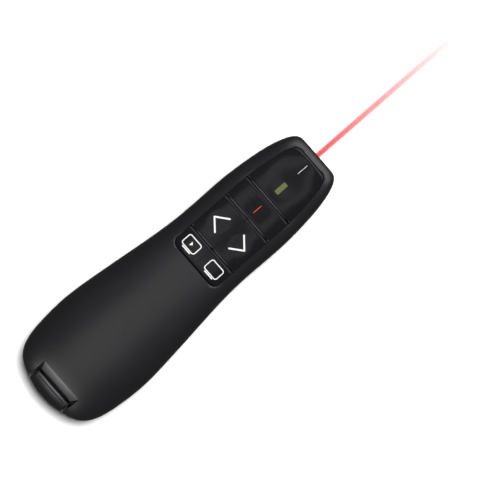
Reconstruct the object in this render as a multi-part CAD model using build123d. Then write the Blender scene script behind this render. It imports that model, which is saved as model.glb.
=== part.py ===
"""Wireless presentation clicker: hand unit with a parked USB receiver.

Millimetres. +Y points to the nose, where the laser leaves, +X to the right, +Z up to the keys.
The origin is the middle of the footprint, on the surface that the clicker lies on.
"""
import math
import os

from build123d import *

# ---------------------------------------------------------------- driving dimensions: body
length = 116.0
palm_width = 37.7
palm_height = 27.0
waist_width = 28.76
keypad_width = 29.1
key_height = 21.4         # top of the keypad stretch
scoop_height = 3.9        # underside of the finger scoop
sole_cut = 0.5            # how much the rounded belly is planed flat
wall = 1.9
parting_gap = 0.2
palm_end = 58.0           # from the tail end to where the palm passes into the neck
lip_inset = 1.0           # the lower case's locating lip lies this far in
lip_rise = 1.0
lip_clearance = 0.12
flank_top_palm = 0.64     # fullness of the upper section, 0.55 is an ellipse
flank_top_keys = 0.78
flank_bottom = 0.70
station_count = 17

# ---------------------------------------------------------------- driving dimensions: keypad
panel_depth = 0.6
panel_half_width = 10.2
panel_front_margin = 2.4
panel_front_radius = 2.8
panel_rear_radius = 2.5
front_zone_length = 18.7
laser_key_length = 8.8
page_key_length = 14.7
screen_key_length = 8.1
key_gap = 0.3
page_split = 0.2
key_side_gap = 0.25
key_travel = 0.4
key_roof = 1.5
key_wall = 1.3
key_edge = 0.4            # rolled edge along the top of every key
rib_thickness = 1.0
post_radius = 1.7
finger_dip_depth = 0.3
laser_dip_reach = 4.2
page_dip_reach = 4.8
mat_thickness = 1.0
mat_margin = 0.7
mat_lift = 0.9            # from the mat's top to the underside of the keys
dish_radius = 8.4
dish_depth = 0.35
skirt_wall = 0.9
window_width = 2.0
window_length = 4.5
window_wall = 1.4
window_fit = 0.05
led_width = 1.4
led_length = 2.8
led_height = 1.9
light_gap = 0.2           # between the status light and its window
post_clearance = 0.4

# ---------------------------------------------------------------- driving dimensions: power
cell_diameter = 10.5
cell_length = 44.5
cell_spacing = 10.8
cell_nub_diameter = 3.8
cell_nub_length = 0.9
cell_edge = 0.55
cell_touch = 0.05         # gap between a cell's end and its contact
cell_floor = 2.4
cell_clearance = 0.3
trough_clearance = 0.25
bay_end = 6.4             # from the tail end to the middle of the bay's rear wall
bay_wall = 1.2
bay_ceiling = 0.8
spring_length = 3.5
contact_thickness = 0.4
contact_half_width = 3.4
strip_half_width = 1.2
strip_overlap = 2.5       # how far a contact's strip reaches under the board
bridge_half_width = 2.6
spring_radius = 2.3
spring_wire = 0.3         # half the wire's thickness
spring_turns = 2.5
door_skin = 1.7
door_gap = 0.15
door_half_width = 11.6
door_tail_half_width = 14.4
door_tail_length = 12.0
door_tail_height = 7.2
rail_height = 0.8
rail_reach = 0.9
rail_floor = 6.0
rail_gap = 0.2
rail_web = 0.7
rail_tab = 1.1            # thickness of the lower case's tabs under the door's rails
rail_rear_margin = 4.7    # from the door's wide part to the first tab
rail_front_margin = 6.0   # from the last tab to the bay's front end
rail_play = 0.3
end_wall_lift = 1.8       # how far the bay's end walls stay clear of the door
groove_count = 6          # finger grooves across the door
groove_pitch = 2.2
groove_radius = 0.55
groove_length = 11.0
slider_travel = 2.0
slider_half_length = 2.8
slider_half_height = 1.2
slider_play = 0.3
pocket_depth = 1.4
pad_half_length = 6.2     # thickening of the side wall behind the slider
pad_inward = 1.4
pad_below = 2.6
pad_above = 2.0
slit_half_height = 0.75
lever_depth = 1.5         # of the power switch's lever inside its body
lever_half = 0.5

# ---------------------------------------------------------------- driving dimensions: receiver
plug_width = 12.0
plug_height = 4.5
plug_length = 12.0
plug_skin = 0.3
plug_corner = 0.5
plug_window_x = 2.9
tongue_thickness = 1.95
grip_width = 13.1
grip_height = 5.8
grip_length = 17.5
dock_gap = 0.2
dock_wall = 1.0
dock_floor = 0.8
notch_front = 8.3         # from the tail end, where the thumb notch starts to slope down
notch_foot = 5.1
notch_margin = 1.65       # width of the notch beside the receiver
notch_depth = 2.6
mouth_edge = 0.8          # thickness of the case between the dock and the foot of the slope
lip_front = 4.65

# ---------------------------------------------------------------- driving dimensions: board, laser
board_thickness = 1.2
board_top = 13.8
board_half_width = 11.2
switch_size = 6.0
switch_height = 2.0
plunger_radius = 1.7
plunger_proud = 0.4
laser_height = 12.4
barrel_diameter = 6.0
barrel_length = 9.8
lens_diameter = 4.6
barrel_skin = 0.3
lens_seat = 3.2           # depth of the lens seat
lens_back = 0.9           # how far the lens lies back from the barrel's end
lens_curve = 3.6
diode_diameter = 2.2
driver_thickness = 0.8
lead_spacing = 2.2
lead_radius = 0.3
glass_thickness = 0.85
saddle_half_width = 4.6
saddle_thickness = 1.6
saddle_margin = 1.8
aperture_diameter = 4.4
screw_diameter = 2.0
screw_head = 3.8
head_thickness = 1.3
cross_depth = 0.7
cross_reach = 1.1
cross_slot = 0.25         # half the width of the cross recess
screw_clearance = 0.1
head_clearance = 0.2
pilot_extra = 0.5         # how far a pilot hole runs past its screw
case_screw_x = 9.0
case_screw_y = 2.4
case_screw_head = 4.8     # height of the head's seat in the lower case
case_screw_tip = 17.0
board_screw_reach = 4.0   # below the board
upper_boss_radius = 2.1
lower_boss_radius = 3.0
board_post_radius = 2.2
board_screws_at = ((9.3, -31.8), (9.2, -18.0))   # x, and y from the nose end

# ---------------------------------------------------------------- derived places
half = length / 2
tail = -half
nose = half
big = 4 * length
panel_front = nose - panel_front_margin
groove_front = panel_front - front_zone_length
groove_middle = groove_front - laser_key_length
groove_rear = groove_middle - page_key_length
panel_rear = groove_rear - screen_key_length
laser_key_y = (groove_front + groove_middle) / 2
page_key_y = (groove_middle + groove_rear) / 2
screen_key_y = (groove_rear + panel_rear) / 2
switch_x = panel_half_width / 2 + page_split / 2
cell_z = cell_floor + cell_diameter / 2
ceiling_bottom = cell_floor + cell_diameter + cell_clearance
ceiling_top = ceiling_bottom + bay_ceiling
dock_bottom = ceiling_top + dock_gap
dock_low = dock_bottom + dock_floor
receiver_bottom = dock_low + dock_gap
receiver_top = receiver_bottom + grip_height
receiver_z = (receiver_bottom + receiver_top) / 2
dock_top = receiver_top + dock_gap
grip_front = tail + grip_length
dock_half_width = grip_width / 2 + dock_gap
notch_half_width = grip_width / 2 + notch_margin
pilot_radius = (screw_diameter + screw_clearance) / 2
bay_half = (cell_spacing + cell_diameter) / 2 + cell_clearance
rail_top = rail_floor + rail_height
plug_front = grip_front + plug_length
dock_end = plug_front + 1.0
bay_rear = tail + bay_end + bay_wall
bay_front = bay_rear + contact_thickness + cell_length + spring_length + contact_thickness
door_front = bay_front + bay_wall + door_gap
rail_y0 = tail + door_tail_length + rail_rear_margin
rail_y1 = bay_front - rail_front_margin
board_bottom = board_top - board_thickness
board_rear = case_screw_y + screw_head / 2 + 1.1
board_front = nose - 13.0
switch_top = board_top + switch_height
plunger_top = switch_top + plunger_proud
mat_bottom = switch_top + 0.2
mat_top = mat_bottom + mat_thickness
cap_bottom = mat_top + mat_lift
barrel_front = nose - wall - 0.1
barrel_rear = barrel_front - barrel_length
slider_y = panel_rear + 8.7
contact_x = cell_spacing / 2 - 0.6
slider_z = 9.6


# ---------------------------------------------------------------- body surface
def end_angle(y):
    """Angle of a place along the body: 0 at the tail end, pi at the nose end."""
    return math.acos(max(-1.0, min(1.0, -y / half)))


def smooth_rule(knots):
    """A smooth function of y through (y, value) knots, without overshoot."""
    angles = [end_angle(y) for y, value in knots]
    values = [value for y, value in knots]
    slopes = [(values[i + 1] - values[i]) / (angles[i + 1] - angles[i]) for i in range(len(knots) - 1)]
    tangents = [slopes[0]]
    for before, after in zip(slopes, slopes[1:]):
        tangents.append(0.0 if before * after <= 0 else 2 * before * after / (before + after))
    tangents.append(slopes[-1])

    def rule(y):
        angle = end_angle(y)
        i = 0
        while i < len(angles) - 2 and angle > angles[i + 1]:
            i += 1
        span = angles[i + 1] - angles[i]
        s = (angle - angles[i]) / span
        start = (1 + 2 * s) * (1 - s) ** 2 * values[i] + s * (1 - s) ** 2 * span * tangents[i]
        end = s * s * (3 - 2 * s) * values[i + 1] + s * s * (s - 1) * span * tangents[i + 1]
        return start + end

    return rule


def from_ends(tail_knots, nose_knots):
    """Knots given as distances from the tail end and from the nose end, as (y, value)."""
    return [(tail + d, value) for d, value in tail_knots] + [(nose - d, value) for d, value in nose_knots]


half_width = smooth_rule(from_ends(
    [(0, 4.0), (1.0, 7.7), (1.9, 10.7), (3.5, 13.7), (6.7, 16.1), (13.1, palm_width / 2 - 0.85),
     (25.8, palm_width / 2), (45.0, palm_width / 2 - 1.8), (60.9, waist_width / 2 + 0.86)],
    [(42.0, waist_width / 2), (30.0, keypad_width / 2), (20.0, keypad_width / 2 - 0.55), (10.5, 12.83),
     (5.4, 11.56), (2.5, 10.5), (1.24, 9.67), (0.6, 8.5), (0.13, 6.85), (0, 5.5)]))
top_height = smooth_rule(from_ends(
    [(0, 16.0), (1.0, 18.6), (3.0, 21.4), (7.0, 23.8), (13.0, 25.5), (22.0, palm_height - 0.2),
     (31.0, palm_height), (43.0, palm_height - 0.8), (palm_end, palm_height - 3.0)],
    [(38.0, key_height + 0.3), (18.0, key_height), (8.0, key_height - 0.1), (3.5, key_height - 0.6),
     (1.5, key_height - 1.6), (0.5, 18.4), (0, 16.5)]))
belly_height = smooth_rule(from_ends(
    [(0, 10.0), (1.0, 7.2), (3.0, 4.4), (7.0, 1.9), (12.0, 0.2), (18.0, -sole_cut), (palm_end, -sole_cut),
     (palm_end + 8.0, 0.1)],
    [(42.0, scoop_height - 2.1), (32.0, scoop_height - 0.5), (22.0, scoop_height), (12.0, scoop_height - 0.2),
     (6.0, 4.2), (2.5, 5.6), (0.7, 7.8), (0, 10.0)]))
top_fullness = smooth_rule([(tail, flank_top_palm), (-half / 4, flank_top_palm),
                            (half / 3, flank_top_keys), (nose, flank_top_keys)])


def parting_height(y):
    return (top_height(y) + belly_height(y)) / 2


def section(y, inset):
    """One closed cross-section of the body, moved in by inset."""
    across = half_width(y) - inset
    top = top_height(y) - inset
    low = belly_height(y) + inset
    middle = parting_height(y)
    full = top_fullness(y)
    rise = full * (top - middle)
    sink = flank_bottom * (middle - low)
    place = y * (half - inset) / half
    quadrants = (
        ((across, middle), (across, middle + rise), (full * across, top), (0, top)),
        ((0, top), (-full * across, top), (-across, middle + rise), (-across, middle)),
        ((-across, middle), (-across, middle - sink), (-flank_bottom * across, low), (0, low)),
        ((0, low), (flank_bottom * across, low), (across, middle - sink), (across, middle)),
    )
    return Wire([Bezier(*[Vector(x, place, z) for x, z in corners]) for corners in quadrants])


hull_cache = {}


def hull(inset):
    """The body as one solid, with every surface moved in by inset."""
    key = round(inset, 4)
    if key not in hull_cache:
        stations = [-half * math.cos(math.pi * i / (station_count - 1)) for i in range(station_count)]
        hull_cache[key] = Solid.make_loft([section(y, inset) for y in stations])
    return hull_cache[key]


def block(x0, x1, y0, y1, z0, z1):
    """A box from its limits."""
    middle = Location(((x0 + x1) / 2, (y0 + y1) / 2, (z0 + z1) / 2))
    return middle * Box(abs(x1 - x0), abs(y1 - y0), abs(z1 - z0))


def both_sides(shape):
    return shape + shape.mirror(Plane.YZ)


def rod(x, y, z0, z1, radius):
    """An upright cylinder."""
    return Location((x, y, (z0 + z1) / 2)) * Cylinder(radius, z1 - z0)


def bar(x, z, y0, y1, radius):
    """A cylinder along Y."""
    return Location((x, (y0 + y1) / 2, z), (90, 0, 0)) * Cylinder(radius, y1 - y0)


def plan_prism(points, radii, z0, z1):
    """A prism over a plan outline that is mirrored about x = 0; radii round its corners."""
    loop = list(points) + [(-x, y) for x, y in reversed(points)]
    corner = list(radii) + list(reversed(radii))
    face = Face(Wire.make_polygon([(x, y, 0) for x, y in loop], close=True))
    for (x, y), radius in zip(loop, corner):
        if radius > 0:
            near = sorted(face.vertices(), key=lambda v: (v.X - x) ** 2 + (v.Y - y) ** 2)[0]
            face = face.fillet_2d(radius, [near])
    return Solid.extrude(face, Vector(0, 0, z1 - z0)).moved(Location((0, 0, z0)))


def above_parting(shift):
    """Everything above the parting surface, which is raised by shift."""
    count = 11
    ys = [-half * math.cos(math.pi * i / (count - 1)) for i in range(count)]
    edge = Spline(*[(0, y, parting_height(y) + shift) for y in ys])
    rear = edge @ 0
    front = edge @ 1
    corners = [front, Vector(0, big, front.Z), Vector(0, big, big), Vector(0, -big, big),
               Vector(0, -big, rear.Z), rear]
    rim = [Line(a, b) for a, b in zip(corners, corners[1:])]
    face = Face(Wire([edge] + rim))
    return Solid.extrude(face, Vector(2 * big, 0, 0)).moved(Location((-big, 0, 0)))


def panel_prism(grow, z0, z1):
    """The keypad's outline, grown outwards by grow."""
    side = panel_half_width + grow
    outline = [(side, panel_rear - grow), (side, groove_front), (side - 0.5, panel_front - 12.9),
               (side - 1.8, panel_front - 4.1), (side - 3.7, panel_front + grow)]
    corners = (panel_rear_radius + grow, 30.0, 20.0, 6.0, panel_front_radius + grow)
    return plan_prism(outline, corners, z0, z1)


pieces = {}

# ---------------------------------------------------------------- case
outer = hull(0) - block(-big, big, -big, big, -big, 0)
cavity = hull(wall)
shell = outer - cavity


def boss(x, y, z0, z1, radius):
    return both_sides(rod(x, y, z0, z1, radius))


def make_upper_case():
    case = shell & above_parting(parting_gap / 2)
    # frame round the key window, sleeve of the dock and screw bosses, all trimmed by the outer surface
    skirt = panel_prism(skirt_wall, mat_top + 0.1, big) - panel_prism(0, 0, big)
    skirt = skirt & block(-big, big, -big, groove_front + 1.2, 0, big)
    sleeve = block(-dock_half_width - dock_wall, dock_half_width + dock_wall,
                   tail, dock_end + dock_wall, dock_bottom, dock_top + dock_wall)
    hangers = both_sides(block(dock_half_width, dock_half_width + dock_wall,
                               tail, dock_end + dock_wall, dock_top, big))
    backing = block(-notch_half_width, notch_half_width, tail + notch_foot - 0.6, tail + notch_front + 2.0,
                    dock_top, big)
    posts = boss(case_screw_x, case_screw_y, parting_height(case_screw_y) + parting_gap, big, upper_boss_radius)
    inner = (skirt + [sleeve, hangers, backing, posts]) & hull(wall / 2)
    # room for the lower case's lip
    rebate = hull(lip_inset - lip_clearance) - above_parting(lip_rise + lip_clearance)
    case = (case - rebate) + inner
    # beside the receiver the notch's floor follows the surface; the receiver itself lies in the dock
    floor = block(-notch_half_width, notch_half_width, -big, tail + notch_foot, receiver_bottom, big)
    slot = block(-dock_half_width, dock_half_width, -big, dock_end, dock_low, dock_top)
    mouth = block(-dock_half_width, dock_half_width, -big, tail + notch_foot, dock_low, big)
    pilot = boss(case_screw_x, case_screw_y, 0, case_screw_tip + screw_clearance, pilot_radius)
    window = panel_prism(0, 0, big)
    return case - [window, notch_slopes(), floor - hull(notch_depth), slot, mouth, pilot, laser_way()]


def notch_slopes():
    """What the thumb notch takes from the upper case: a hopper with a sloping front and sloping sides."""
    rim_z = top_height(tail + notch_front)
    foot_z = dock_top + mouth_edge
    front = Face(Wire.make_polygon([(0, tail + notch_front, rim_z), (0, tail + notch_foot, foot_z),
                                    (0, tail + notch_foot, big), (0, tail + notch_front, big)], close=True))
    sides = Face(Wire.make_polygon([(-dock_half_width, 0, foot_z), (dock_half_width, 0, foot_z),
                                    (notch_half_width, 0, rim_z), (notch_half_width, 0, big),
                                    (-notch_half_width, 0, big), (-notch_half_width, 0, rim_z)], close=True))
    front_wedge = Solid.extrude(front, Vector(2 * notch_half_width, 0, 0))
    side_wedge = Solid.extrude(sides, Vector(0, length, 0))
    return front_wedge.moved(Location((-notch_half_width, 0, 0))) & side_wedge.moved(Location((0, -length, 0)))


def laser_way():
    """The aperture in the nose and the seat of the laser's window."""
    seat = bar(0, laser_height, barrel_front - 1.0, nose - wall + glass_thickness + 0.15,
               barrel_diameter / 2 + window_fit)
    return seat + bar(0, laser_height, nose - wall, nose + 5, aperture_diameter / 2)


def door_outline(grow, z0, z1):
    """The battery door's outline: a main stretch, and a wider part at the tail."""
    step = tail + door_tail_length
    outline = [(door_half_width + grow, door_front + grow), (door_half_width + grow, step + 2.0 + grow),
               (door_tail_half_width + grow, step - 0.8 + grow), (door_tail_half_width + grow, tail - 5)]
    return plan_prism(outline, (2.0 + grow, 2.0, 2.0, 0), z0, z1)


def make_lower_case():
    case = shell - above_parting(-parting_gap / 2)
    lip_band = above_parting(-parting_gap) - above_parting(lip_rise)
    lip = (hull(lip_inset) - cavity) & lip_band
    case = (case + lip) - door_outline(door_gap, -1, door_tail_height + door_gap)
    front_face = bay_front + bay_wall
    rear_face = bay_rear - bay_wall
    under_end = cell_floor + end_wall_lift
    wall_low = rail_top + rail_gap + 0.1
    pieces_in = [
        block(-bay_half - bay_wall, bay_half + bay_wall, rear_face, front_face, ceiling_bottom, ceiling_top),
        block(-bay_half - bay_wall, bay_half + bay_wall, bay_front, front_face, wall_low, ceiling_top),
        block(-bay_half - bay_wall, bay_half + bay_wall, rear_face, bay_rear, wall_low, ceiling_top),
        block(-bay_half + 0.3, bay_half - 0.3, bay_front, front_face, under_end, ceiling_top),
        block(-bay_half + 0.3, bay_half - 0.3, rear_face, bay_rear, under_end, ceiling_top),
    ]
    sides = [
        block(bay_half, bay_half + bay_wall, rear_face, front_face, wall_low, ceiling_top),
        block(door_half_width + rail_gap, door_half_width + 2 * rail_tab, rail_y0, rail_y1,
              rail_floor - rail_tab, rail_floor - rail_gap),
    ]
    gusset_x = door_half_width + rail_reach + rail_play
    for y in (rail_y0, (rail_y0 + rail_y1) / 2, rail_y1):
        gusset_top = parting_height(y) - 2 * parting_gap
        sides.append(block(gusset_x, big, y, y + bay_wall, rail_floor - rail_tab, gusset_top))
        sides.append(block(bay_half + bay_wall / 2, gusset_x + bay_wall, y, y + bay_wall, wall_low, gusset_top))
    # foot of the front wall, board posts, screw bosses and laser saddles
    foot = block(-bay_half, bay_half, door_front + door_gap, front_face + 1.0, -1, wall_low + 1)
    foot = foot + block(-bay_half, bay_half, bay_front, front_face + 1.0, wall_low, ceiling_top)
    for x, y in board_screws_at:
        sides.append(rod(x, nose + y, 0, board_bottom, board_post_radius))
    boss_top = parting_height(case_screw_y) - parting_gap
    sides.append(rod(case_screw_x, case_screw_y, 0, boss_top, lower_boss_radius))
    saddles = [block(-saddle_half_width, saddle_half_width, y, y + saddle_thickness, 0, laser_height)
               for y in (barrel_rear + saddle_margin, barrel_front - saddle_margin - saddle_thickness)]
    pad = block(slider_wall - pad_inward, slider_wall + wall, slider_y - pad_half_length,
                slider_y + pad_half_length, slider_z - pad_below, slider_z + pad_above)
    mirrored = [piece.mirror(Plane.YZ) for piece in sides]
    inner = foot + [pad] + pieces_in + saddles + sides + mirrored
    door_zone = door_outline(door_gap, -1, door_tail_height + door_gap) - hull(door_skin + 0.35)
    case = case + ((inner & hull(wall / 2)) - door_zone)
    # holes
    pilot_bottom = board_bottom - board_screw_reach - pilot_extra
    holes = [boss(x, nose + y, pilot_bottom, board_bottom + 1, pilot_radius) for x, y in board_screws_at]
    holes.append(boss(case_screw_x, case_screw_y, -1, case_screw_head, screw_head / 2 + head_clearance))
    holes.append(boss(case_screw_x, case_screw_y, 0, big, screw_diameter / 2 + head_clearance))
    holes.append(both_sides(block(contact_x - strip_half_width - 0.2, contact_x + strip_half_width + 0.2,
                                  bay_front - 1, board_rear, board_bottom - contact_thickness - 0.2,
                                  board_bottom)))
    # pocket and slot of the power slider
    pocket_reach = slider_half_length + slider_travel / 2 + 2 * slider_play
    pocket_height = slider_half_height + slider_play
    pocket = block(slider_wall, big, slider_y - pocket_reach, slider_y + pocket_reach,
                   slider_z - pocket_height, slider_z + pocket_height)
    pocket = fillet(pocket.edges().filter_by(Axis.X), pocket_height - 0.1)
    slit_reach = slider_travel + 0.2
    slit = block(slider_wall - 2 * pad_inward, slider_wall + 1, slider_y - slit_reach, slider_y + slit_reach,
                 slider_z - slit_half_height, slider_z + slit_half_height)
    cradle = bar(0, laser_height, barrel_rear - 3, barrel_front, barrel_diameter / 2 + window_fit)
    return case - holes - [pocket, slit, cradle, laser_way()]


slider_wall = half_width(slider_y) - pocket_depth


def make_battery_door():
    door = (outer - hull(door_skin)) & door_outline(0, -1, door_tail_height)
    trough = bar(cell_spacing / 2, cell_z, bay_rear + contact_thickness, bay_front,
                 cell_diameter / 2 + trough_clearance)
    y0 = rail_y0 + rail_play
    y1 = rail_y1 - rail_play
    web = block(door_half_width - rail_web, door_half_width, y0, y1, cell_floor, rail_top)
    flange = block(door_half_width - rail_web, door_half_width + rail_reach, y0, y1, rail_floor, rail_top)
    door = door + both_sides(web + flange)
    grooves = []
    for i in range(groove_count):
        across = groove_length * (1 - i / (2 * groove_count))
        place = Location((0, tail + door_tail_length + groove_pitch * i, 0), (0, 90, 0))
        grooves.append(place * Cylinder(groove_radius, across))
    return door - grooves - [trough, trough.mirror(Plane.YZ)]


# ---------------------------------------------------------------- keypad
key_top = hull(panel_depth)
key_inner = hull(panel_depth + key_roof)


def key_cell(x0, x1, y0, y1, grow):
    """The outline of one key: its share of the keypad, as a prism."""
    share = block(x0 - grow, x1 + grow, y0 - grow, y1 + grow, 0, big)
    return share & panel_prism(grow - key_side_gap, cap_bottom, big)


def rolled(cap):
    """The cap with a rolled edge all round its top, which may be two faces that meet at x = 0."""
    rims = []
    for face in cap.faces():
        if face.normal_at(face.center()).Z > 0.5:
            rims += [edge for edge in face.edges() if abs(edge.center().X) > page_split]
    return cap.fillet(key_edge, rims)


def spherical_dip(x, y, across, depth, inset):
    """A ball that leaves a dip of the given half-width and depth in the hull moved in by inset."""
    radius = (across ** 2 + depth ** 2) / (2 * depth)
    step = 0.5
    slope_x = (surface_height(x + step, y, inset) - surface_height(x - step, y, inset)) / (2 * step)
    slope_y = (surface_height(x, y + step, inset) - surface_height(x, y - step, inset)) / (2 * step)
    upwards = Vector(-slope_x, -slope_y, 1).normalized()
    centre = Vector(x, y, surface_height(x, y, inset)) + upwards * (radius - depth)
    return Location(centre, (90, 0, 0)) * Sphere(radius)


def surface_height(x, y, inset):
    """Height of the top surface at (x, y), on the hull moved in by inset."""
    y = y * half / (half - inset)
    across = half_width(y) - inset
    top = top_height(y) - inset
    middle = parting_height(y)
    full = top_fullness(y)
    low, high = 0.0, 1.0
    for _ in range(40):
        t = (low + high) / 2
        reach = across * ((1 - t) ** 3 + 3 * (1 - t) ** 2 * t + 3 * (1 - t) * t * t * full)
        if reach > abs(x):
            low = t
        else:
            high = t
    return middle + (top - middle) * (3 * (1 - t) ** 2 * t * full + 3 * (1 - t) * t * t + t ** 3)


def make_key(x0, x1, y0, y1, post_x, post_y, dips):
    """A key: crowned cap, hollow underneath, with a post that stands on its switch."""
    cap = rolled(key_cell(x0, x1, y0, y1, 0) & key_top)
    hollow = key_cell(x0, x1, y0, y1, -key_wall) & key_inner
    cap = cap - [hollow] - dips
    post = rod(post_x, post_y, plunger_top, cap_bottom + key_wall, post_radius)
    rib = block(x0, x1, post_y - rib_thickness / 2, post_y + rib_thickness / 2, cap_bottom, big)
    ribs = rib + rod(post_x, post_y, cap_bottom, big, post_radius)
    ribs = ribs & key_cell(x0, x1, y0, y1, -key_wall / 2) & hull(panel_depth + 0.6 * key_roof)
    return cap + [post, ribs]


def make_keys():
    reach = 2 * panel_half_width
    gap = key_gap / 2
    split = page_split / 2
    rows = {
        "laser_key": (-reach, reach, groove_middle + gap, groove_front - gap, 0, laser_key_y,
                      [spherical_dip(0, laser_key_y, laser_dip_reach, finger_dip_depth, panel_depth)]),
        "next_key": (split, reach, groove_rear + gap, groove_middle - gap, switch_x, page_key_y,
                     [spherical_dip(switch_x, page_key_y, page_dip_reach, finger_dip_depth, panel_depth)]),
        "blank_screen_key": (gap, reach, panel_rear, groove_rear - gap, switch_x, screen_key_y, []),
    }
    for name, row in rows.items():
        pieces[name] = make_key(*row)
    pieces["previous_key"] = pieces["next_key"].mirror(Plane.YZ)
    pieces["slideshow_key"] = pieces["blank_screen_key"].mirror(Plane.YZ)


switch_places = {
    "laser": (0, laser_key_y),
    "previous": (-switch_x, page_key_y),
    "next": (switch_x, page_key_y),
    "slideshow": (-switch_x, screen_key_y),
    "blank_screen": (switch_x, screen_key_y),
}
window_y = groove_front + 5.6
dish_y = groove_front + 9.75


def window_block(grow, z0):
    """The upright prism of the status window, grown outwards by grow."""
    x = window_width / 2 + grow
    y = window_length / 2 + grow
    return block(-x, x, window_y - y, window_y + y, z0, big)


def make_keypad_mat():
    """Rubber sheet under the keys, with the fixed front zone and its round dish."""
    sheet = panel_prism(mat_margin, mat_bottom, mat_top) & hull(wall + 0.25)
    zone = panel_prism(-key_side_gap, mat_top, big) & block(-big, big, groove_front + key_gap / 2, big, 0, big)
    zone = rolled(zone & key_top)
    dish = rod(0, dish_y, mat_top, big, dish_radius) - hull(panel_depth + dish_depth)
    mat = sheet + zone
    hollow = panel_prism(-key_side_gap - key_wall, mat_bottom - 1, big)
    hollow = hollow & block(-big, big, groove_front + key_gap / 2 + key_wall, big, 0, big)
    light_well = window_block(window_wall, 0)
    hollow = (hollow & hull(panel_depth + dish_depth + key_roof)) - light_well
    holes = [rod(x, y, 0, mat_top + 1, post_radius + post_clearance) for x, y in switch_places.values()]
    return mat - [dish, hollow, window_block(window_fit, 0)] - holes


def make_status_window():
    return window_block(0, board_top + led_height + light_gap) & hull(panel_depth + dish_depth)


# ---------------------------------------------------------------- board and switches
def make_main_board():
    front = board_front
    waist = nose - 20.0
    outline = [(board_half_width, board_rear), (board_half_width, waist), (board_half_width - 1.6, front)]
    board = plan_prism(outline, (1.0, 4.0, 1.0), board_bottom, board_top)
    holes = [boss(x, nose + y, 0, big, screw_diameter / 2 + 0.15) for x, y in board_screws_at]
    return board - holes


def make_switch(x, y):
    """A square tactile switch with a round hole for its plunger and four solder feet."""
    side = switch_size / 2
    body = block(x - side, x + side, y - side, y + side, board_top + 0.1, switch_top)
    body = body.chamfer(0.4, None, body.edges().filter_by(Axis.Z))
    feet = [block(x + a * side, x + a * (side + 0.6), y + b * 2.2 - 0.4, y + b * 2.2 + 0.4,
                  board_top, board_top + 0.5) for a in (-1, 1) for b in (-1, 1)]
    well = rod(x, y, board_top + 0.6, big, plunger_radius + 0.1)
    return (body + feet) - well


def make_switches():
    for name, (x, y) in switch_places.items():
        pieces[name + "_switch"] = make_switch(x, y)
        stem = rod(x, y, board_top + 0.7 + key_travel, plunger_top, plunger_radius)
        pieces[name + "_switch_plunger"] = stem


def make_chips():
    """Parts on the underside of the board, and the status light on top."""
    under = board_bottom
    chip = block(-5.5, 1.5, page_key_y - 2.6, page_key_y + 4.4, under - 1.0, under)
    pieces["controller_chip"] = chip.chamfer(0.2, None, chip.edges().filter_by(Axis.Z))
    radio = block(-3.0, 2.0, laser_key_y - 2.5, laser_key_y + 2.5, under - 0.9, under)
    pieces["radio_chip"] = radio.chamfer(0.2, None, radio.edges().filter_by(Axis.Z))
    can = block(3.6, 5.2, laser_key_y - 2.0, laser_key_y + 2.0, under - 1.1, under)
    pieces["crystal"] = can.fillet(0.5, can.edges().filter_by(Axis.Z))
    small = []
    for i in range(5):
        y = page_key_y - 3.0 + 1.8 * i
        small.append(block(3.2, 4.8, y, y + 0.8, under - 0.6, under))
        small.append(block(-6.9, -6.1, y, y + 1.4, under - 0.6, under))
    pieces["chip_parts"] = Compound(small)
    light = block(-led_width / 2, led_width / 2, window_y - led_length / 2, window_y + led_length / 2,
                  board_top, board_top + led_height)
    pieces["status_led"] = light.chamfer(0.2, None, light.faces().sort_by(Axis.Z)[-1].edges())


def make_power_switch():
    x1 = slider_wall - 2.0
    x0 = x1 - 3.6
    body = block(x0, x1, slider_y - slider_travel - 2.5, slider_y + slider_travel + 2.5,
                 slider_z - lever_half - 0.5, board_bottom)
    track = block(x1 - lever_depth - 0.1, x1 + 1, slider_y - slider_travel, slider_y + slider_travel,
                  slider_z - lever_half - 0.1, slider_z + lever_half + 0.1)
    pieces["power_switch_body"] = body - track
    rest_y = slider_y - slider_travel / 2
    stem_x = slider_wall - 0.4
    pieces["power_switch_lever"] = block(x1 - lever_depth, stem_x, rest_y - 0.8, rest_y + 0.8,
                                         slider_z - lever_half, slider_z + lever_half)
    plate = block(slider_wall + 0.12, slider_wall + 0.9,
                  rest_y - slider_half_length, rest_y + slider_half_length,
                  slider_z - slider_half_height, slider_z + slider_half_height)
    plate = plate.fillet(slider_half_height - 0.1, plate.edges().filter_by(Axis.X))
    ridge_height = slider_half_height - 0.3
    ridges = [block(slider_wall + 0.8, slider_wall + 1.3, rest_y + a - 0.3, rest_y + a + 0.3,
                    slider_z - ridge_height, slider_z + ridge_height) for a in (-1.4, 0, 1.4)]
    stem = block(stem_x, slider_wall + 0.2, rest_y - 0.9, rest_y + 0.9, slider_z - 0.55, slider_z + 0.55)
    pieces["power_slider"] = plate + ridges + [stem]


# ---------------------------------------------------------------- battery cells and contacts
right_cell_front = bay_front - contact_thickness - cell_touch
left_cell_rear = bay_rear + contact_thickness + cell_touch


def make_cell(x, tip_y, way):
    """A cell whose plus tip is at tip_y and points along way (+1 to the nose)."""
    radius = cell_diameter / 2
    nub = cell_nub_diameter / 2
    ring = [(0, 0), (nub, 0), (nub, -cell_nub_length), (radius - cell_edge, -cell_nub_length),
            (radius, -cell_nub_length - cell_edge), (radius, cell_edge - cell_length),
            (radius - cell_edge, -cell_length), (0, -cell_length)]
    face = Face(Wire.make_polygon([(r, tip_y + way * a, 0) for r, a in ring], close=True))
    return Solid.revolve(face, 360, Axis.Y).moved(Location((x, 0, cell_z)))


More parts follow.
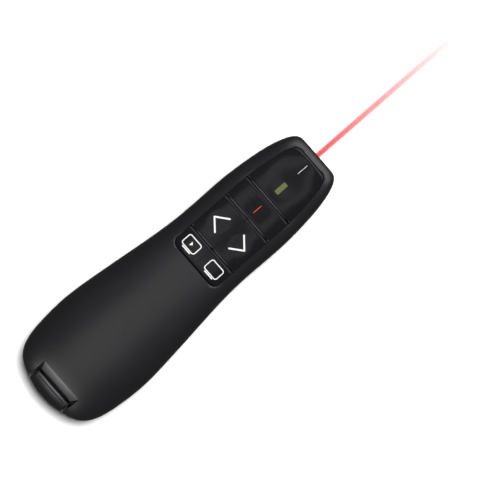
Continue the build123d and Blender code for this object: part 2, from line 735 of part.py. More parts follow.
def make_spring(x, y0, y1):
    """A barrel-wound contact spring along Y."""
    height = abs(y1 - y0) - 2 * spring_wire
    coil = Helix(pitch=height / spring_turns, height=height, radius=spring_radius)
    strand = Plane(origin=coil @ 0, z_dir=coil % 0) * RegularPolygon(spring_wire, 6)
    swept = Solid.sweep(strand.face(), Wire([coil]), is_frenet=True)
    return Location((x, min(y0, y1) + spring_wire, cell_z), (-90, 0, 0)) * swept


def make_contacts():
    side = cell_spacing / 2
    plus = block(side - contact_half_width, side + contact_half_width, bay_front - contact_thickness, bay_front,
                 cell_z - contact_half_width, board_bottom - contact_thickness)
    tail_strip = block(contact_x - strip_half_width, contact_x + strip_half_width,
                       bay_front - contact_thickness, board_rear + strip_overlap,
                       board_bottom - contact_thickness, board_bottom)
    pieces["battery_plus_contact"] = plus + tail_strip
    minus = (plus + tail_strip).mirror(Plane.YZ)
    front_spring = make_spring(-side, left_cell_rear + cell_length + cell_touch, bay_front - contact_thickness)
    pieces["battery_minus_spring"] = Compound([minus, front_spring])
    bridge = block(-side - bridge_half_width, side + bridge_half_width, bay_rear, bay_rear + contact_thickness,
                   cell_z - bridge_half_width, cell_z + bridge_half_width)
    rear_spring = make_spring(side, bay_rear + contact_thickness, right_cell_front - cell_length - cell_touch)
    pieces["battery_bridge_contact"] = Compound([bridge, rear_spring])


# ---------------------------------------------------------------- laser module
def make_laser():
    radius = barrel_diameter / 2
    bore = lens_diameter / 2 + 0.1
    seat = barrel_front - lens_seat
    can_radius = diode_diameter / 2
    ring = [(can_radius + 0.1, barrel_rear), (radius, barrel_rear), (radius, seat + 0.6),
            (radius - barrel_skin, seat + 1.0), (radius - barrel_skin, barrel_front - barrel_skin),
            (radius - 2 * barrel_skin, barrel_front), (bore, barrel_front), (bore, seat),
            (can_radius + 0.1, seat)]
    face = Face(Wire.make_polygon([(r, y, 0) for r, y in ring], close=True))
    pieces["laser_barrel"] = Solid.revolve(face, 360, Axis.Y).moved(Location((0, 0, laser_height)))
    lens = bar(0, laser_height, seat + 0.1, barrel_front - lens_back, lens_diameter / 2)
    ball = Location((0, barrel_front - lens_back - lens_curve, laser_height)) * Sphere(lens_curve)
    pieces["laser_lens"] = lens & ball
    drive = bar(0, laser_height, barrel_rear - driver_thickness, barrel_rear, radius - 0.2)
    can = bar(0, laser_height, barrel_rear, barrel_rear + 2 * driver_thickness, can_radius)
    pieces["laser_driver_board"] = drive + can
    pieces["laser_window"] = bar(0, laser_height, nose - wall, nose - wall + glass_thickness, radius)


def make_laser_leads():
    leads = []
    low = laser_height - 1.6
    bend_y = barrel_rear - 3.6
    for x in (-lead_spacing / 2, lead_spacing / 2):
        path = FilletPolyline((x, barrel_rear - driver_thickness, low), (x, bend_y, low),
                              (x, bend_y, board_bottom), radius=0.7)
        disc = Plane(origin=path @ 0, z_dir=path % 0) * Circle(lead_radius)
        leads.append(Solid.sweep(disc.face(), Wire(path.edges())))
    return Compound(leads)


# ---------------------------------------------------------------- receiver
def make_receiver():
    side = grip_width / 2
    lip = block(-side, side, -big, tail + lip_front, receiver_bottom, big) & hull(0)
    core = block(-side, side, tail + lip_front - 0.5, grip_front, receiver_bottom, receiver_top - 0.2)
    core = core & hull(notch_depth + 0.2) + block(-side, side, tail + notch_front, grip_front,
                                                 receiver_bottom, receiver_top)
    pieces["receiver_grip"] = lip + core
    shell_box = block(-plug_width / 2, plug_width / 2, grip_front, plug_front,
                      receiver_z - plug_height / 2, receiver_z + plug_height / 2)
    shell_box = shell_box.fillet(plug_corner, shell_box.edges().filter_by(Axis.Y))
    bore = block(-plug_width / 2 + plug_skin, plug_width / 2 - plug_skin, grip_front - 1, plug_front + 1,
                 receiver_z - plug_height / 2 + plug_skin, receiver_z + plug_height / 2 - plug_skin)
    windows = [block(x - 1.25, x + 1.25, plug_front - 6.2, plug_front - 4.2, 0, big)
               for x in (-plug_window_x, plug_window_x)]
    pieces["receiver_plug_shell"] = shell_box - [bore] - windows
    inner = plug_width / 2 - plug_skin
    low = receiver_z - plug_height / 2 + plug_skin
    tongue_top = low + tongue_thickness
    pieces["receiver_plug_tongue"] = block(-inner, inner, grip_front, plug_front - 0.5, low, tongue_top)
    strips = []
    for x, strip_end in ((-3.5, plug_front - 1.2), (-1.0, plug_front - 1.8),
                         (1.0, plug_front - 1.8), (3.5, plug_front - 1.2)):
        strips.append(block(x - 0.5, x + 0.5, grip_front + 1.5, strip_end, tongue_top, tongue_top + 0.15))
    pieces["receiver_contacts"] = Compound(strips)


# ---------------------------------------------------------------- screws
def make_screw(x, y, head_z, tip_z):
    """A pan-head screw with a cross recess; its head lies at head_z, its point at tip_z."""
    up = 1 if head_z > tip_z else -1
    far = head_z + up * head_thickness
    head = rod(x, y, min(head_z, far), max(head_z, far), screw_head / 2)
    shank = rod(x, y, min(head_z, tip_z), max(head_z, tip_z), screw_diameter / 2)
    floor = far - up * cross_depth
    cross = [block(x - a, x + a, y - b, y + b, min(far, floor), max(far, floor))
             for a, b in ((cross_reach, cross_slot), (cross_slot, cross_reach))]
    return (head + shank) - cross


def make_screws():
    pieces["case_screws"] = Compound([make_screw(x, case_screw_y, case_screw_head, case_screw_tip)
                                      for x in (-case_screw_x, case_screw_x)])
    board_tip = board_bottom - board_screw_reach
    pieces["board_screws"] = Compound([make_screw(side * x, nose + y, board_top, board_tip)
                                       for x, y in board_screws_at for side in (-1, 1)])


# ---------------------------------------------------------------- build
pieces["upper_case"] = make_upper_case()
pieces["lower_case"] = make_lower_case()
pieces["battery_door"] = make_battery_door()
make_keys()
pieces["keypad_mat"] = make_keypad_mat()
pieces["status_window"] = make_status_window()
pieces["main_board"] = make_main_board()
make_switches()
make_chips()
make_power_switch()
pieces["aaa_cell_left"] = make_cell(-cell_spacing / 2, left_cell_rear, -1)
pieces["aaa_cell_right"] = make_cell(cell_spacing / 2, right_cell_front, 1)
make_contacts()
make_laser()
pieces["laser_leads"] = make_laser_leads()
make_receiver()
make_screws()

os.makedirs("parts", exist_ok=True)
for name, shape in pieces.items():
    export_step(shape, "parts/" + name + ".step")
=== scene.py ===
# %% [markdown]
# # A wireless presentation clicker, dressed for a product picture
#
# The hand unit is two moulded half-shells with a keypad of rubber keys, a laser in the nose and a USB
# receiver parked in the tail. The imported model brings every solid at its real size, in metres, with
# +Y to the nose and +Z up. This file gives each solid its finish, and adds what a mould maker and a
# pad printer add: rolled key edges, soft dips for the finger, and the printed symbols.

# %% Load the frame
import math

import bmesh
import bpy
import numpy as np
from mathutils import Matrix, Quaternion, Vector
from mathutils.bvhtree import BVHTree


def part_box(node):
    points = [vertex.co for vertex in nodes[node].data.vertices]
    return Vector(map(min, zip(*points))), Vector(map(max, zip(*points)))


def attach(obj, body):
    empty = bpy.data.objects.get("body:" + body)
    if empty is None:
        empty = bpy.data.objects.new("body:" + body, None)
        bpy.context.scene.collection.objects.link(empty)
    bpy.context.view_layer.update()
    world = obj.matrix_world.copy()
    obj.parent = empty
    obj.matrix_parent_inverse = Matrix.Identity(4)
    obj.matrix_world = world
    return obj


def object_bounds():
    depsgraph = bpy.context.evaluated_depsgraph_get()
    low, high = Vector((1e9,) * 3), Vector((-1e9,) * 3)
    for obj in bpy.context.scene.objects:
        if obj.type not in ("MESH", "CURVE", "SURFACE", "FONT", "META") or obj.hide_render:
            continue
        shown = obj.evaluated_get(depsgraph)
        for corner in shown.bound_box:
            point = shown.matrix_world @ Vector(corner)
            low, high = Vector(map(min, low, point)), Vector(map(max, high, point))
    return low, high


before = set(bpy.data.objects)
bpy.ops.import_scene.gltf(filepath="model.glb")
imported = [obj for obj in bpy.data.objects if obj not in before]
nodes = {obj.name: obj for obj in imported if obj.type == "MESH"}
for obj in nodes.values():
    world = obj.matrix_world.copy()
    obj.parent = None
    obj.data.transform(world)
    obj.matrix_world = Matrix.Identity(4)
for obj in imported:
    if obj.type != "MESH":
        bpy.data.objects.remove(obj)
cad_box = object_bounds()
MM = 0.001
print("solids:", len(nodes), "size in mm:", [round(c / MM, 1) for c in cad_box[1] - cad_box[0]])

# %% [markdown]
# ## Camera
#
# A product shot from above, through a long lens so that the tall palm isn't swollen. The clicker lies
# aslant in the picture with its nose up to the right: the camera is rolled, since the model itself
# stays square to its axes. It leans a little to the clicker's left, which shifts the keypad's marks to
# the right of the outline's middle. The frame's width and the object's place in it fix the rest.

# %% Camera
NOSE_ANGLE = math.radians(41.12)      # of the nose's direction above the picture's horizontal
FRAME_WIDTH = 153.0 * MM              # width of the picture where the outline is widest
OFFSET_RIGHT = 19.19 * MM             # from the object's middle to the picture's middle
OFFSET_UP = 11.41 * MM
OUTLINE_HEIGHT = 13.0 * MM
LENS = 300.0
SENSOR = 36.0
FARTHEST = 10.0                       # metres that the camera sees
LEAN = math.radians(2.3)              # of the line of sight towards the clicker's left side

roll = math.pi / 2 - NOSE_ANGLE
right = Vector((math.cos(roll), math.sin(roll), 0))
up = Vector((-math.sin(roll), math.cos(roll), 0))
camera_data = bpy.data.cameras.new("product_camera")
camera_data.lens = LENS
camera_data.sensor_width = SENSOR
camera_data.clip_end = FARTHEST
camera = bpy.data.objects.new("product_camera", camera_data)
bpy.context.scene.collection.objects.link(camera)
middle = right * OFFSET_RIGHT + up * OFFSET_UP + Vector((0, 0, OUTLINE_HEIGHT))
sight = Vector((-math.sin(LEAN), 0, math.cos(LEAN)))
camera.location = middle + sight * FRAME_WIDTH * LENS / SENSOR
turn = Vector((0, 0, 1)).rotation_difference(sight) @ Quaternion((0, 0, 1), roll)
camera.rotation_euler = turn.to_euler()
bpy.context.scene.camera = camera
print("camera height:", round(camera.location.z, 3), "m")

# %% [markdown]
# ## Light and floor
#
# The clicker is black on white, so it is drawn by what it reflects. A wide panel overhead gives the soft
# sheen along the back; it is a frame round the place where the flat keypad mirrors the camera, so that
# the keys stay dark. Two strips, beyond the nose and beyond the tail, catch only the edges that turn
# towards them: the rim of the nose, the slope of the thumb notch and the rolled edges of the keys. These
# lamps are seen in reflections only. One more lamp does the opposite: it lights what is matt, so it
# whitens the paper, and since it leans to the nose it leaves a soft shadow only behind the tail.


# %% Light and floor
def area_light(name, place, target, width, depth, power):
    """A soft rectangular lamp at place that faces target and shows in reflections only."""
    data = bpy.data.lights.new(name, "AREA")
    data.shape = "RECTANGLE"
    data.size = width
    data.size_y = depth
    data.energy = power
    lamp = bpy.data.objects.new(name, data)
    bpy.context.scene.collection.objects.link(lamp)
    lamp.location = place
    lamp.rotation_euler = (Vector(target) - Vector(place)).to_track_quat("-Z", "Y").to_euler()
    lamp.visible_camera = False
    lamp.visible_diffuse = False
    return lamp


PANEL_HEIGHT = 0.75                   # metres, as all places of lamps
PANEL_HALF_X = 0.27
PANEL_HALF_Y = 0.36
HOLE_HALF_X = 0.07
HOLE_HALF_Y = 0.11
HOLE_MIDDLE_X = 0.038                 # where the keypad mirrors the camera
HOLE_MIDDLE_Y = 0.055
PANEL_WATTS_PER_SQUARE_METRE = 6.7


def panel_lamp(name, x0, x1, y0, y1):
    """One flat lamp of the overhead frame, between these limits."""
    middle = ((x0 + x1) / 2, (y0 + y1) / 2, PANEL_HEIGHT)
    lamp = area_light(name, middle, (middle[0], middle[1], 0), x1 - x0, y1 - y0,
                      PANEL_WATTS_PER_SQUARE_METRE * (x1 - x0) * (y1 - y0))
    lamp.rotation_euler = (0, 0, 0)


hole_x = (HOLE_MIDDLE_X - HOLE_HALF_X, HOLE_MIDDLE_X + HOLE_HALF_X)
hole_y = (HOLE_MIDDLE_Y - HOLE_HALF_Y, HOLE_MIDDLE_Y + HOLE_HALF_Y)
panel_lamp("panel_right", hole_x[1], PANEL_HALF_X, -PANEL_HALF_Y, PANEL_HALF_Y)
panel_lamp("panel_left", -PANEL_HALF_X, hole_x[0], -PANEL_HALF_Y, PANEL_HALF_Y)
panel_lamp("panel_nose", *hole_x, hole_y[1], PANEL_HALF_Y)
panel_lamp("panel_tail", *hole_x, -PANEL_HALF_Y, hole_y[0])
STRIPS = {                            # place, what it faces, width, depth, watts
    "nose_strip": ((0.0, 0.42, 0.16), (0, 0.02, 0.01), 1.00, 0.32, 4.8),
    "tail_strip": ((0.0, -0.42, 0.20), (0, -0.02, 0.01), 0.28, 0.10, 3.0),
}
for name, settings in STRIPS.items():
    area_light(name, *settings)

SHADOW_LEAN = math.radians(12)        # of the paper's lamp towards the nose
SHADOW_SOFTNESS = math.radians(17)    # how wide that lamp looks from the floor
PAPER_LAMP_STRENGTH = 4.6
sun_data = bpy.data.lights.new("paper_lamp", "SUN")
sun_data.energy = PAPER_LAMP_STRENGTH
sun_data.angle = SHADOW_SOFTNESS
sun = bpy.data.objects.new("paper_lamp", sun_data)
bpy.context.scene.collection.objects.link(sun)
sun.rotation_euler = (-SHADOW_LEAN, -LEAN, 0)
sun.visible_glossy = False

# %% [markdown]
# The paper and the background are bright for the camera and dim for everything else. In a studio the
# same is done with black cards just outside the picture: without them a black object mirrors the white
# paper all round its edge, and its outline dissolves.


# %% Paper and background
ROOM_LIGHT = 0.065
PAPER = 0.92
PAPER_IN_REFLECTIONS = 0.06
PAPER_ROUGHNESS = 0.9
PAPER_SPECULAR = 0.1


def camera_switch(tree, dim, bright):
    """A value that is bright for camera rays and dim for all others."""
    path = tree.nodes.new("ShaderNodeLightPath")
    choice = tree.nodes.new("ShaderNodeMix")
    choice.inputs[2].default_value = dim          # the inputs A and B of a mix of numbers
    choice.inputs[3].default_value = bright
    tree.links.new(path.outputs["Is Camera Ray"], choice.inputs[0])
    return choice.outputs[0]


world = bpy.data.worlds.new("studio")
bpy.context.scene.world = world
world.use_nodes = True
background = world.node_tree.nodes["Background"]
background.inputs["Color"].default_value = (1, 1, 1, 1)
world.node_tree.links.new(camera_switch(world.node_tree, ROOM_LIGHT, 1.0),
                          background.inputs["Strength"])
bpy.context.scene.view_settings.view_transform = "Standard"

FLOOR_HALF = 1.5
bpy.ops.mesh.primitive_plane_add(size=2 * FLOOR_HALF)
floor = bpy.context.object
floor.name = "floor"
paper = bpy.data.materials.new("paper")
paper.use_nodes = True
paper_shader = paper.node_tree.nodes["Principled BSDF"]
paper_shader.inputs["Roughness"].default_value = PAPER_ROUGHNESS
paper_shader.inputs["Specular IOR Level"].default_value = PAPER_SPECULAR
paper.node_tree.links.new(camera_switch(paper.node_tree, PAPER_IN_REFLECTIONS, PAPER),
                          paper_shader.inputs["Base Color"])
floor.data.materials.append(paper)

# %% [markdown]
# ## Shared effects
#
# Three things happen to almost every surface of a hand tool, so each is one node group with inputs.
# `moulded_grain` is the fine spark-eroded texture of the tool: it varies colour and roughness and puts
# out a height for a bump. `handled_edges` finds convex edges with the Bevel node, lightens them and
# smooths them a little, as fingers do. `settled_dust` greys what faces up.


# %% Node helpers
def new_group(name, inputs, outputs):
    """An empty shader group with named sockets, and its two end nodes."""
    group = bpy.data.node_groups.new(name, "ShaderNodeTree")
    for label, kind, value in inputs:
        socket = group.interface.new_socket(label, in_out="INPUT", socket_type=kind)
        socket.default_value = value
    for label, kind in outputs:
        group.interface.new_socket(label, in_out="OUTPUT", socket_type=kind)
    return group, group.nodes.new("NodeGroupInput"), group.nodes.new("NodeGroupOutput")


def add(tree, kind, **settings):
    """A node with its properties set."""
    node = tree.nodes.new(kind)
    for key, value in settings.items():
        setattr(node, key, value)
    return node


def feed(tree, socket, value):
    """Give a socket its value: a number, a tuple or another socket."""
    if isinstance(value, bpy.types.NodeSocket):
        tree.links.new(value, socket)
    else:
        socket.default_value = value


def math_node(tree, operation, first, second=0.0):
    """A Math node on two sockets or numbers."""
    node = add(tree, "ShaderNodeMath", operation=operation)
    feed(tree, node.inputs[0], first)
    feed(tree, node.inputs[1], second)
    return node.outputs[0]


def mix_colors(tree, share, first, second):
    """Mix of two colours by share."""
    node = add(tree, "ShaderNodeMix", data_type="RGBA")
    for index, value in ((0, share), (6, first), (7, second)):      # where its colour sockets are
        feed(tree, node.inputs[index], value)
    return node.outputs[2]


def noise(tree, coordinates, scale, detail):
    """Noise of a given scale, a number or a socket."""
    node = add(tree, "ShaderNodeTexNoise")
    feed(tree, node.inputs["Detail"], detail)
    feed(tree, node.inputs["Vector"], coordinates)
    feed(tree, node.inputs["Scale"], scale)
    return node.outputs["Fac"]


def object_place(tree):
    """Coordinates fixed to the piece."""
    return add(tree, "ShaderNodeTexCoord").outputs["Object"]


def parts_of(tree, vector):
    """The X, Y and Z outputs of a vector."""
    node = add(tree, "ShaderNodeSeparateXYZ")
    feed(tree, node.inputs[0], vector)
    return node.outputs


# %% Group: moulded grain
FLOAT = "NodeSocketFloat"
COLOR = "NodeSocketColor"
VECTOR = "NodeSocketVector"
BLACK_PLASTIC = (0.02, 0.02, 0.02, 1)
PATCH_SIZE = 0.011                    # metres, of the slow cloudiness in a moulding
PATCH_SHARE = 0.4                     # of it in the texture, the rest being the grain


def build_moulded_grain():
    """Colour and roughness varied by the texture."""
    group, entry, result = new_group(
        "moulded_grain",
        [("Color", COLOR, BLACK_PLASTIC), ("Roughness", FLOAT, 0.5), ("Grain Size", FLOAT, 0.3 * MM),
         ("Color Spread", FLOAT, 0.1), ("Roughness Spread", FLOAT, 0.1)],
        [("Color", COLOR), ("Roughness", FLOAT), ("Height", FLOAT)])
    place = object_place(group)
    fine_scale = math_node(group, "DIVIDE", 1.0, entry.outputs["Grain Size"])
    fine = noise(group, place, fine_scale, detail=3.0)
    slow = noise(group, place, 1 / PATCH_SIZE, detail=2.0)
    both = math_node(group, "ADD", math_node(group, "MULTIPLY", fine, 1 - PATCH_SHARE),
                     math_node(group, "MULTIPLY", slow, PATCH_SHARE))
    swing = math_node(group, "SUBTRACT", both, 0.5)
    rough = math_node(group, "ADD", entry.outputs["Roughness"],
                      math_node(group, "MULTIPLY", swing, entry.outputs["Roughness Spread"]))
    gain = math_node(group, "ADD", 1.0,
                     math_node(group, "MULTIPLY", swing, entry.outputs["Color Spread"]))
    tint = add(group, "ShaderNodeVectorMath", operation="SCALE")
    group.links.new(entry.outputs["Color"], tint.inputs[0])
    group.links.new(gain, tint.inputs["Scale"])
    group.links.new(tint.outputs[0], result.inputs["Color"])
    group.links.new(rough, result.inputs["Roughness"])
    group.links.new(fine, result.inputs["Height"])
    return group


# %% Group: handled edges
EDGE_GAIN = 4.0                       # how soon a bent normal counts as an edge
WEAR_SCALE = 900.0                    # per metre, of the breaks in a worn edge
WORN_PLASTIC = (0.16, 0.16, 0.17, 1)
POLISH = 0.3                          # how much smoother a fully worn edge is


def build_handled_edges():
    """Lighter, smoother convex edges, and the rounded normal."""
    group, entry, result = new_group(
        "handled_edges",
        [("Color", COLOR, BLACK_PLASTIC), ("Roughness", FLOAT, 0.5), ("Edge Width", FLOAT, 0.3 * MM),
         ("Wear", FLOAT, 0.3)],
        [("Color", COLOR), ("Roughness", FLOAT), ("Normal", VECTOR)])
    rounded = add(group, "ShaderNodeBevel", samples=4)
    group.links.new(entry.outputs["Edge Width"], rounded.inputs["Radius"])
    flat = add(group, "ShaderNodeNewGeometry")
    facing = add(group, "ShaderNodeVectorMath", operation="DOT_PRODUCT")
    group.links.new(rounded.outputs[0], facing.inputs[0])
    group.links.new(flat.outputs["Normal"], facing.inputs[1])
    bend = math_node(group, "SUBTRACT", 1.0, facing.outputs["Value"])
    edge = math_node(group, "MINIMUM", math_node(group, "MULTIPLY", bend, EDGE_GAIN), 1.0)
    breaks = noise(group, object_place(group), WEAR_SCALE, detail=2.0)
    broken = math_node(group, "MULTIPLY", edge, breaks)
    worn = math_node(group, "MULTIPLY", broken, entry.outputs["Wear"])
    shade = mix_colors(group, worn, entry.outputs["Color"], WORN_PLASTIC)
    group.links.new(shade, result.inputs["Color"])
    smoother = math_node(group, "SUBTRACT", entry.outputs["Roughness"],
                         math_node(group, "MULTIPLY", worn, POLISH))
    group.links.new(smoother, result.inputs["Roughness"])
    group.links.new(rounded.outputs[0], result.inputs["Normal"])
    return group


# %% Group: settled dust
SPECK_SCALE = 1400.0                  # per metre
DUST = (0.35, 0.34, 0.32, 1)


def build_settled_dust():
    """Specks of dust on what faces up."""
    group, entry, result = new_group(
        "settled_dust", [("Color", COLOR, BLACK_PLASTIC), ("Amount", FLOAT, 0.05)], [("Color", COLOR)])
    upward = parts_of(group, add(group, "ShaderNodeNewGeometry").outputs["Normal"])["Z"]
    specks = noise(group, object_place(group), SPECK_SCALE, detail=4.0)
    lying = math_node(group, "MAXIMUM", math_node(group, "MULTIPLY", specks, upward), 0.0)
    share = math_node(group, "MULTIPLY", lying, entry.outputs["Amount"])
    group.links.new(mix_colors(group, share, entry.outputs["Color"], DUST), result.inputs["Color"])
    return group


moulded_grain = build_moulded_grain()
handled_edges = build_handled_edges()
settled_dust = build_settled_dust()
print("groups:", [g.name for g in bpy.data.node_groups])


# %% [markdown]
# ## Finishes
#
# Every finish is a Principled shader fed by those groups. `finish` chains them: grain, then edges, then
# dust, then the shader. What is the same all over a surface, such as metallic or the specular level, is
# set on the shader itself. The case is soft-touch paint on plastic: rough, with a weak wide highlight.


# %% Finish builder
TAIL_ZONE = cad_box[0].y + 2.0 * MM   # the body ends in a small flat, whose border the finish softens
BUMP_STRENGTH = 0.6
COAT_ROUGHNESS = 0.1


def place_group(tree, group, **values):
    """A group node with its inputs set from numbers, tuples or sockets."""
    node = add(tree, "ShaderNodeGroup", node_tree=group)
    for label, value in values.items():
        feed(tree, node.inputs[label.replace("_", " ")], value)
    return node


def finish(name, color, roughness, grain_size=0.3 * MM, grain_depth=0.006 * MM, color_spread=0.25,
           roughness_spread=0.2, edge_width=0.15 * MM, wear=0.15, dust=0.02, metallic=0.0, specular=0.5,
           coat=0.0, transmission=0.0, tail_width=0.0):
    """A moulded, coated or plated finish; tail_width widens the edges at the very tail."""
    material = bpy.data.materials.new(name)
    material.use_nodes = True
    tree = material.node_tree
    shader = tree.nodes["Principled BSDF"]
    grain = place_group(tree, moulded_grain, Color=(*color, 1), Roughness=roughness,
                        Grain_Size=grain_size, Color_Spread=color_spread,
                        Roughness_Spread=roughness_spread)
    edges = place_group(tree, handled_edges, Color=grain.outputs["Color"],
                        Roughness=grain.outputs["Roughness"], Edge_Width=edge_width, Wear=wear)
    dusty = place_group(tree, settled_dust, Color=edges.outputs["Color"], Amount=dust)
    bump = add(tree, "ShaderNodeBump")
    bump.inputs["Strength"].default_value = BUMP_STRENGTH
    bump.inputs["Distance"].default_value = grain_depth
    tree.links.new(grain.outputs["Height"], bump.inputs["Height"])
    tree.links.new(edges.outputs["Normal"], bump.inputs["Normal"])
    tree.links.new(dusty.outputs["Color"], shader.inputs["Base Color"])
    tree.links.new(edges.outputs["Roughness"], shader.inputs["Roughness"])
    tree.links.new(bump.outputs["Normal"], shader.inputs["Normal"])
    shader.inputs["Metallic"].default_value = metallic
    shader.inputs["Specular IOR Level"].default_value = specular
    shader.inputs["Coat Weight"].default_value = coat
    shader.inputs["Coat Roughness"].default_value = COAT_ROUGHNESS
    shader.inputs["Transmission Weight"].default_value = transmission
    if tail_width:
        at_tail = math_node(tree, "LESS_THAN", parts_of(tree, object_place(tree))["Y"], TAIL_ZONE)
        wide = math_node(tree, "ADD", edge_width, math_node(tree, "MULTIPLY", at_tail, tail_width))
        tree.links.new(wide, edges.inputs["Edge Width"])
    return material


# %% Finishes by material slot
TEXTURED = {"grain_size": 0.45 * MM, "grain_depth": 0.02 * MM, "specular": 0.35}
RUBBER = {"color": (0.0045, 0.0045, 0.0060), "roughness": 0.18, "grain_size": 0.2 * MM,
          "grain_depth": 0.001 * MM, "edge_width": 0.05 * MM, "specular": 0.10}
METAL = {"metallic": 1.0, "wear": 0.05}
POLISHED = {"wear": 0, "dust": 0, "grain_depth": 0.0}
CASE_TAIL = 1.6 * MM
finishes = {
    "case_top": finish("case_top_soft_touch", (0.0075, 0.0075, 0.0090), 0.42, edge_width=0.06 * MM,
                       specular=0.28, tail_width=CASE_TAIL),
    "case_bottom": finish("case_bottom_textured", (0.014, 0.014, 0.015), 0.62, **TEXTURED,
                          tail_width=CASE_TAIL),
    "door_plastic": finish("door_textured", (0.014, 0.014, 0.015), 0.60, **TEXTURED),
    "key_rubber": finish("key_rubber", **RUBBER),
    "mat_rubber": finish("mat_rubber", **RUBBER),
    "window_green": finish("status_window_olive", (0.080, 0.098, 0.026), 0.3, 0.6 * MM, 0.001 * MM,
                           wear=0, specular=0.3),
    "led_body": finish("led_milky_epoxy", (0.55, 0.62, 0.42), 0.3, wear=0, coat=0.5),
    "switch_body": finish("switch_dark_plastic", (0.03, 0.03, 0.032), 0.45),
    "switch_plunger": finish("switch_plunger", (0.35, 0.06, 0.04), 0.4),
    "chip_epoxy": finish("chip_epoxy", (0.02, 0.02, 0.022), 0.55, 0.15 * MM, 0.003 * MM),
    "tin": finish("tinned_steel", (0.62, 0.62, 0.60), 0.32, **METAL),
    "contact_steel": finish("nickel_contact", (0.66, 0.64, 0.60), 0.28, **METAL),
    "brass": finish("turned_brass", (0.72, 0.50, 0.22), 0.30, **METAL),
    "lens_glass": finish("lens_glass", (0.9, 0.9, 0.9), 0.05, transmission=1.0, **POLISHED),
    "window_glass": finish("laser_window", (0.05, 0.01, 0.01), 0.08, coat=0.6, **POLISHED),
    "driver_green": finish("driver_board", (0.03, 0.14, 0.06), 0.35, coat=0.3),
    "lead_red": finish("lead_insulation", (0.45, 0.03, 0.02), 0.4),
    "screw_steel": finish("screw_zinc", (0.42, 0.42, 0.43), 0.36, **METAL),
    "slider_black": finish("slider_gloss", (0.02, 0.02, 0.021), 0.30, wear=0.25),
    "receiver_black": finish("receiver_black", (0.010, 0.010, 0.0115), 0.40, specular=0.14),
    "plug_steel": finish("plug_nickel", (0.60, 0.60, 0.59), 0.24, **METAL),
    "tongue_black": finish("tongue_black", (0.02, 0.02, 0.02), 0.5),
    "gold": finish("gold_flash", (0.85, 0.62, 0.24), 0.22, metallic=1.0, wear=0.02),
}

# %% [markdown]
# ### Finishes with a drawing in them
#
# The circuit board and the cells can't be one tone. The board has copper tracks under its green lacquer,
# made from the cell borders of a square Voronoi pattern. A cell has a bright ring at its plus end, a
# coloured band and a plain sleeve, told apart by how far along the cell the point lies.


# %% Board and cell
TRACK_SCALE = 520.0                   # copper patches per metre
TRACK_SHARE = 0.09                    # of a patch, from its border
COPPER_UNDER_LACQUER = (0.05, 0.22, 0.09, 1)
BAND_FROM_MIDDLE = 13.0 * MM          # where the cell's coloured bands start
METAL_END = 1.2 * MM
BAND_BLUE = (0.03, 0.10, 0.22, 1)
CELL_METAL = (0.6, 0.6, 0.58, 1)


def paint_over(shader, tree, mask, color):
    """Put a colour over a shader's base colour where the mask is one."""
    plain = shader.inputs["Base Color"].links[0].from_socket
    tree.links.new(mix_colors(tree, mask, plain, color), shader.inputs["Base Color"])


def board_finish():
    """Green lacquer over copper tracks."""
    material = finish("board_lacquer", (0.02, 0.12, 0.05), 0.35, coat=0.4, wear=0.02)
    tree = material.node_tree
    tracks = add(tree, "ShaderNodeTexVoronoi", feature="DISTANCE_TO_EDGE")
    feed(tree, tracks.inputs["Scale"], TRACK_SCALE)
    feed(tree, tracks.inputs["Vector"], object_place(tree))
    track = math_node(tree, "LESS_THAN", tracks.outputs["Distance"], TRACK_SHARE)
    paint_over(tree.nodes["Principled BSDF"], tree, track, COPPER_UNDER_LACQUER)
    return material


def cell_finish():
    """A sleeve with a coloured band and a metal ring at each end."""
    material = finish("cell_sleeve", (0.50, 0.51, 0.53), 0.3, coat=0.6, wear=0.02)
    tree = material.node_tree
    shader = tree.nodes["Principled BSDF"]
    lo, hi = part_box("aaa_cell_left")
    middle = (lo.y + hi.y) / 2
    from_middle = math_node(tree, "SUBTRACT", parts_of(tree, object_place(tree))["Y"], middle)
    away = math_node(tree, "ABSOLUTE", from_middle)
    band = math_node(tree, "GREATER_THAN", away, BAND_FROM_MIDDLE)
    metal_end = math_node(tree, "GREATER_THAN", away, (hi.y - lo.y) / 2 - METAL_END)
    paint_over(shader, tree, band, BAND_BLUE)
    paint_over(shader, tree, metal_end, CELL_METAL)
    tree.links.new(metal_end, shader.inputs["Metallic"])
    return material


finishes["board_green"] = board_finish()
finishes["cell_sleeve"] = cell_finish()

for node in nodes.values():
    slot_name = node.material_slots[0].material.name.split(".")[0]
    node.material_slots[0].material = finishes[slot_name]
print("finishes:", len(finishes))

# %% [markdown]
# ## The keypad's skins
#
# The solids have plain dips with a hard rim. On a moulded rubber keypad the same dips run out softly,
# and every key ends in a rolled edge that catches a line of light beside the groove. So each key gets a
# skin over its solid: a grid over the key's outline, crowded towards the edges, at the height of the
# keypad's crown, less the dips, less a quarter circle along the rim. The crown isn't guessed: rays cast
# down onto the solids give its height, and a polynomial that is even in x is fitted to them.

# %% Crown of the keypad
KEY_NODES = ("laser_key", "previous_key", "next_key", "slideshow_key", "blank_screen_key")
SKIN_RISE = 0.53 * MM                 # how far the skins stand above the solids
SCALE_X = 10.0 * MM                   # lengths that bring the polynomial's terms near one
SCALE_Y = 60.0 * MM
SKY = 0.1                             # metres: rays are cast down from here
DOWN = Vector((0, 0, -1))


def tree_of(names):
    """A search tree over these solids."""
    points, faces = [], []
    for name in names:
        mesh = nodes[name].data
        start = len(points)
        points.extend(v.co.copy() for v in mesh.vertices)
        faces.extend([start + i for i in f.vertices] for f in mesh.polygons)
    return BVHTree.FromPolygons(points, faces)


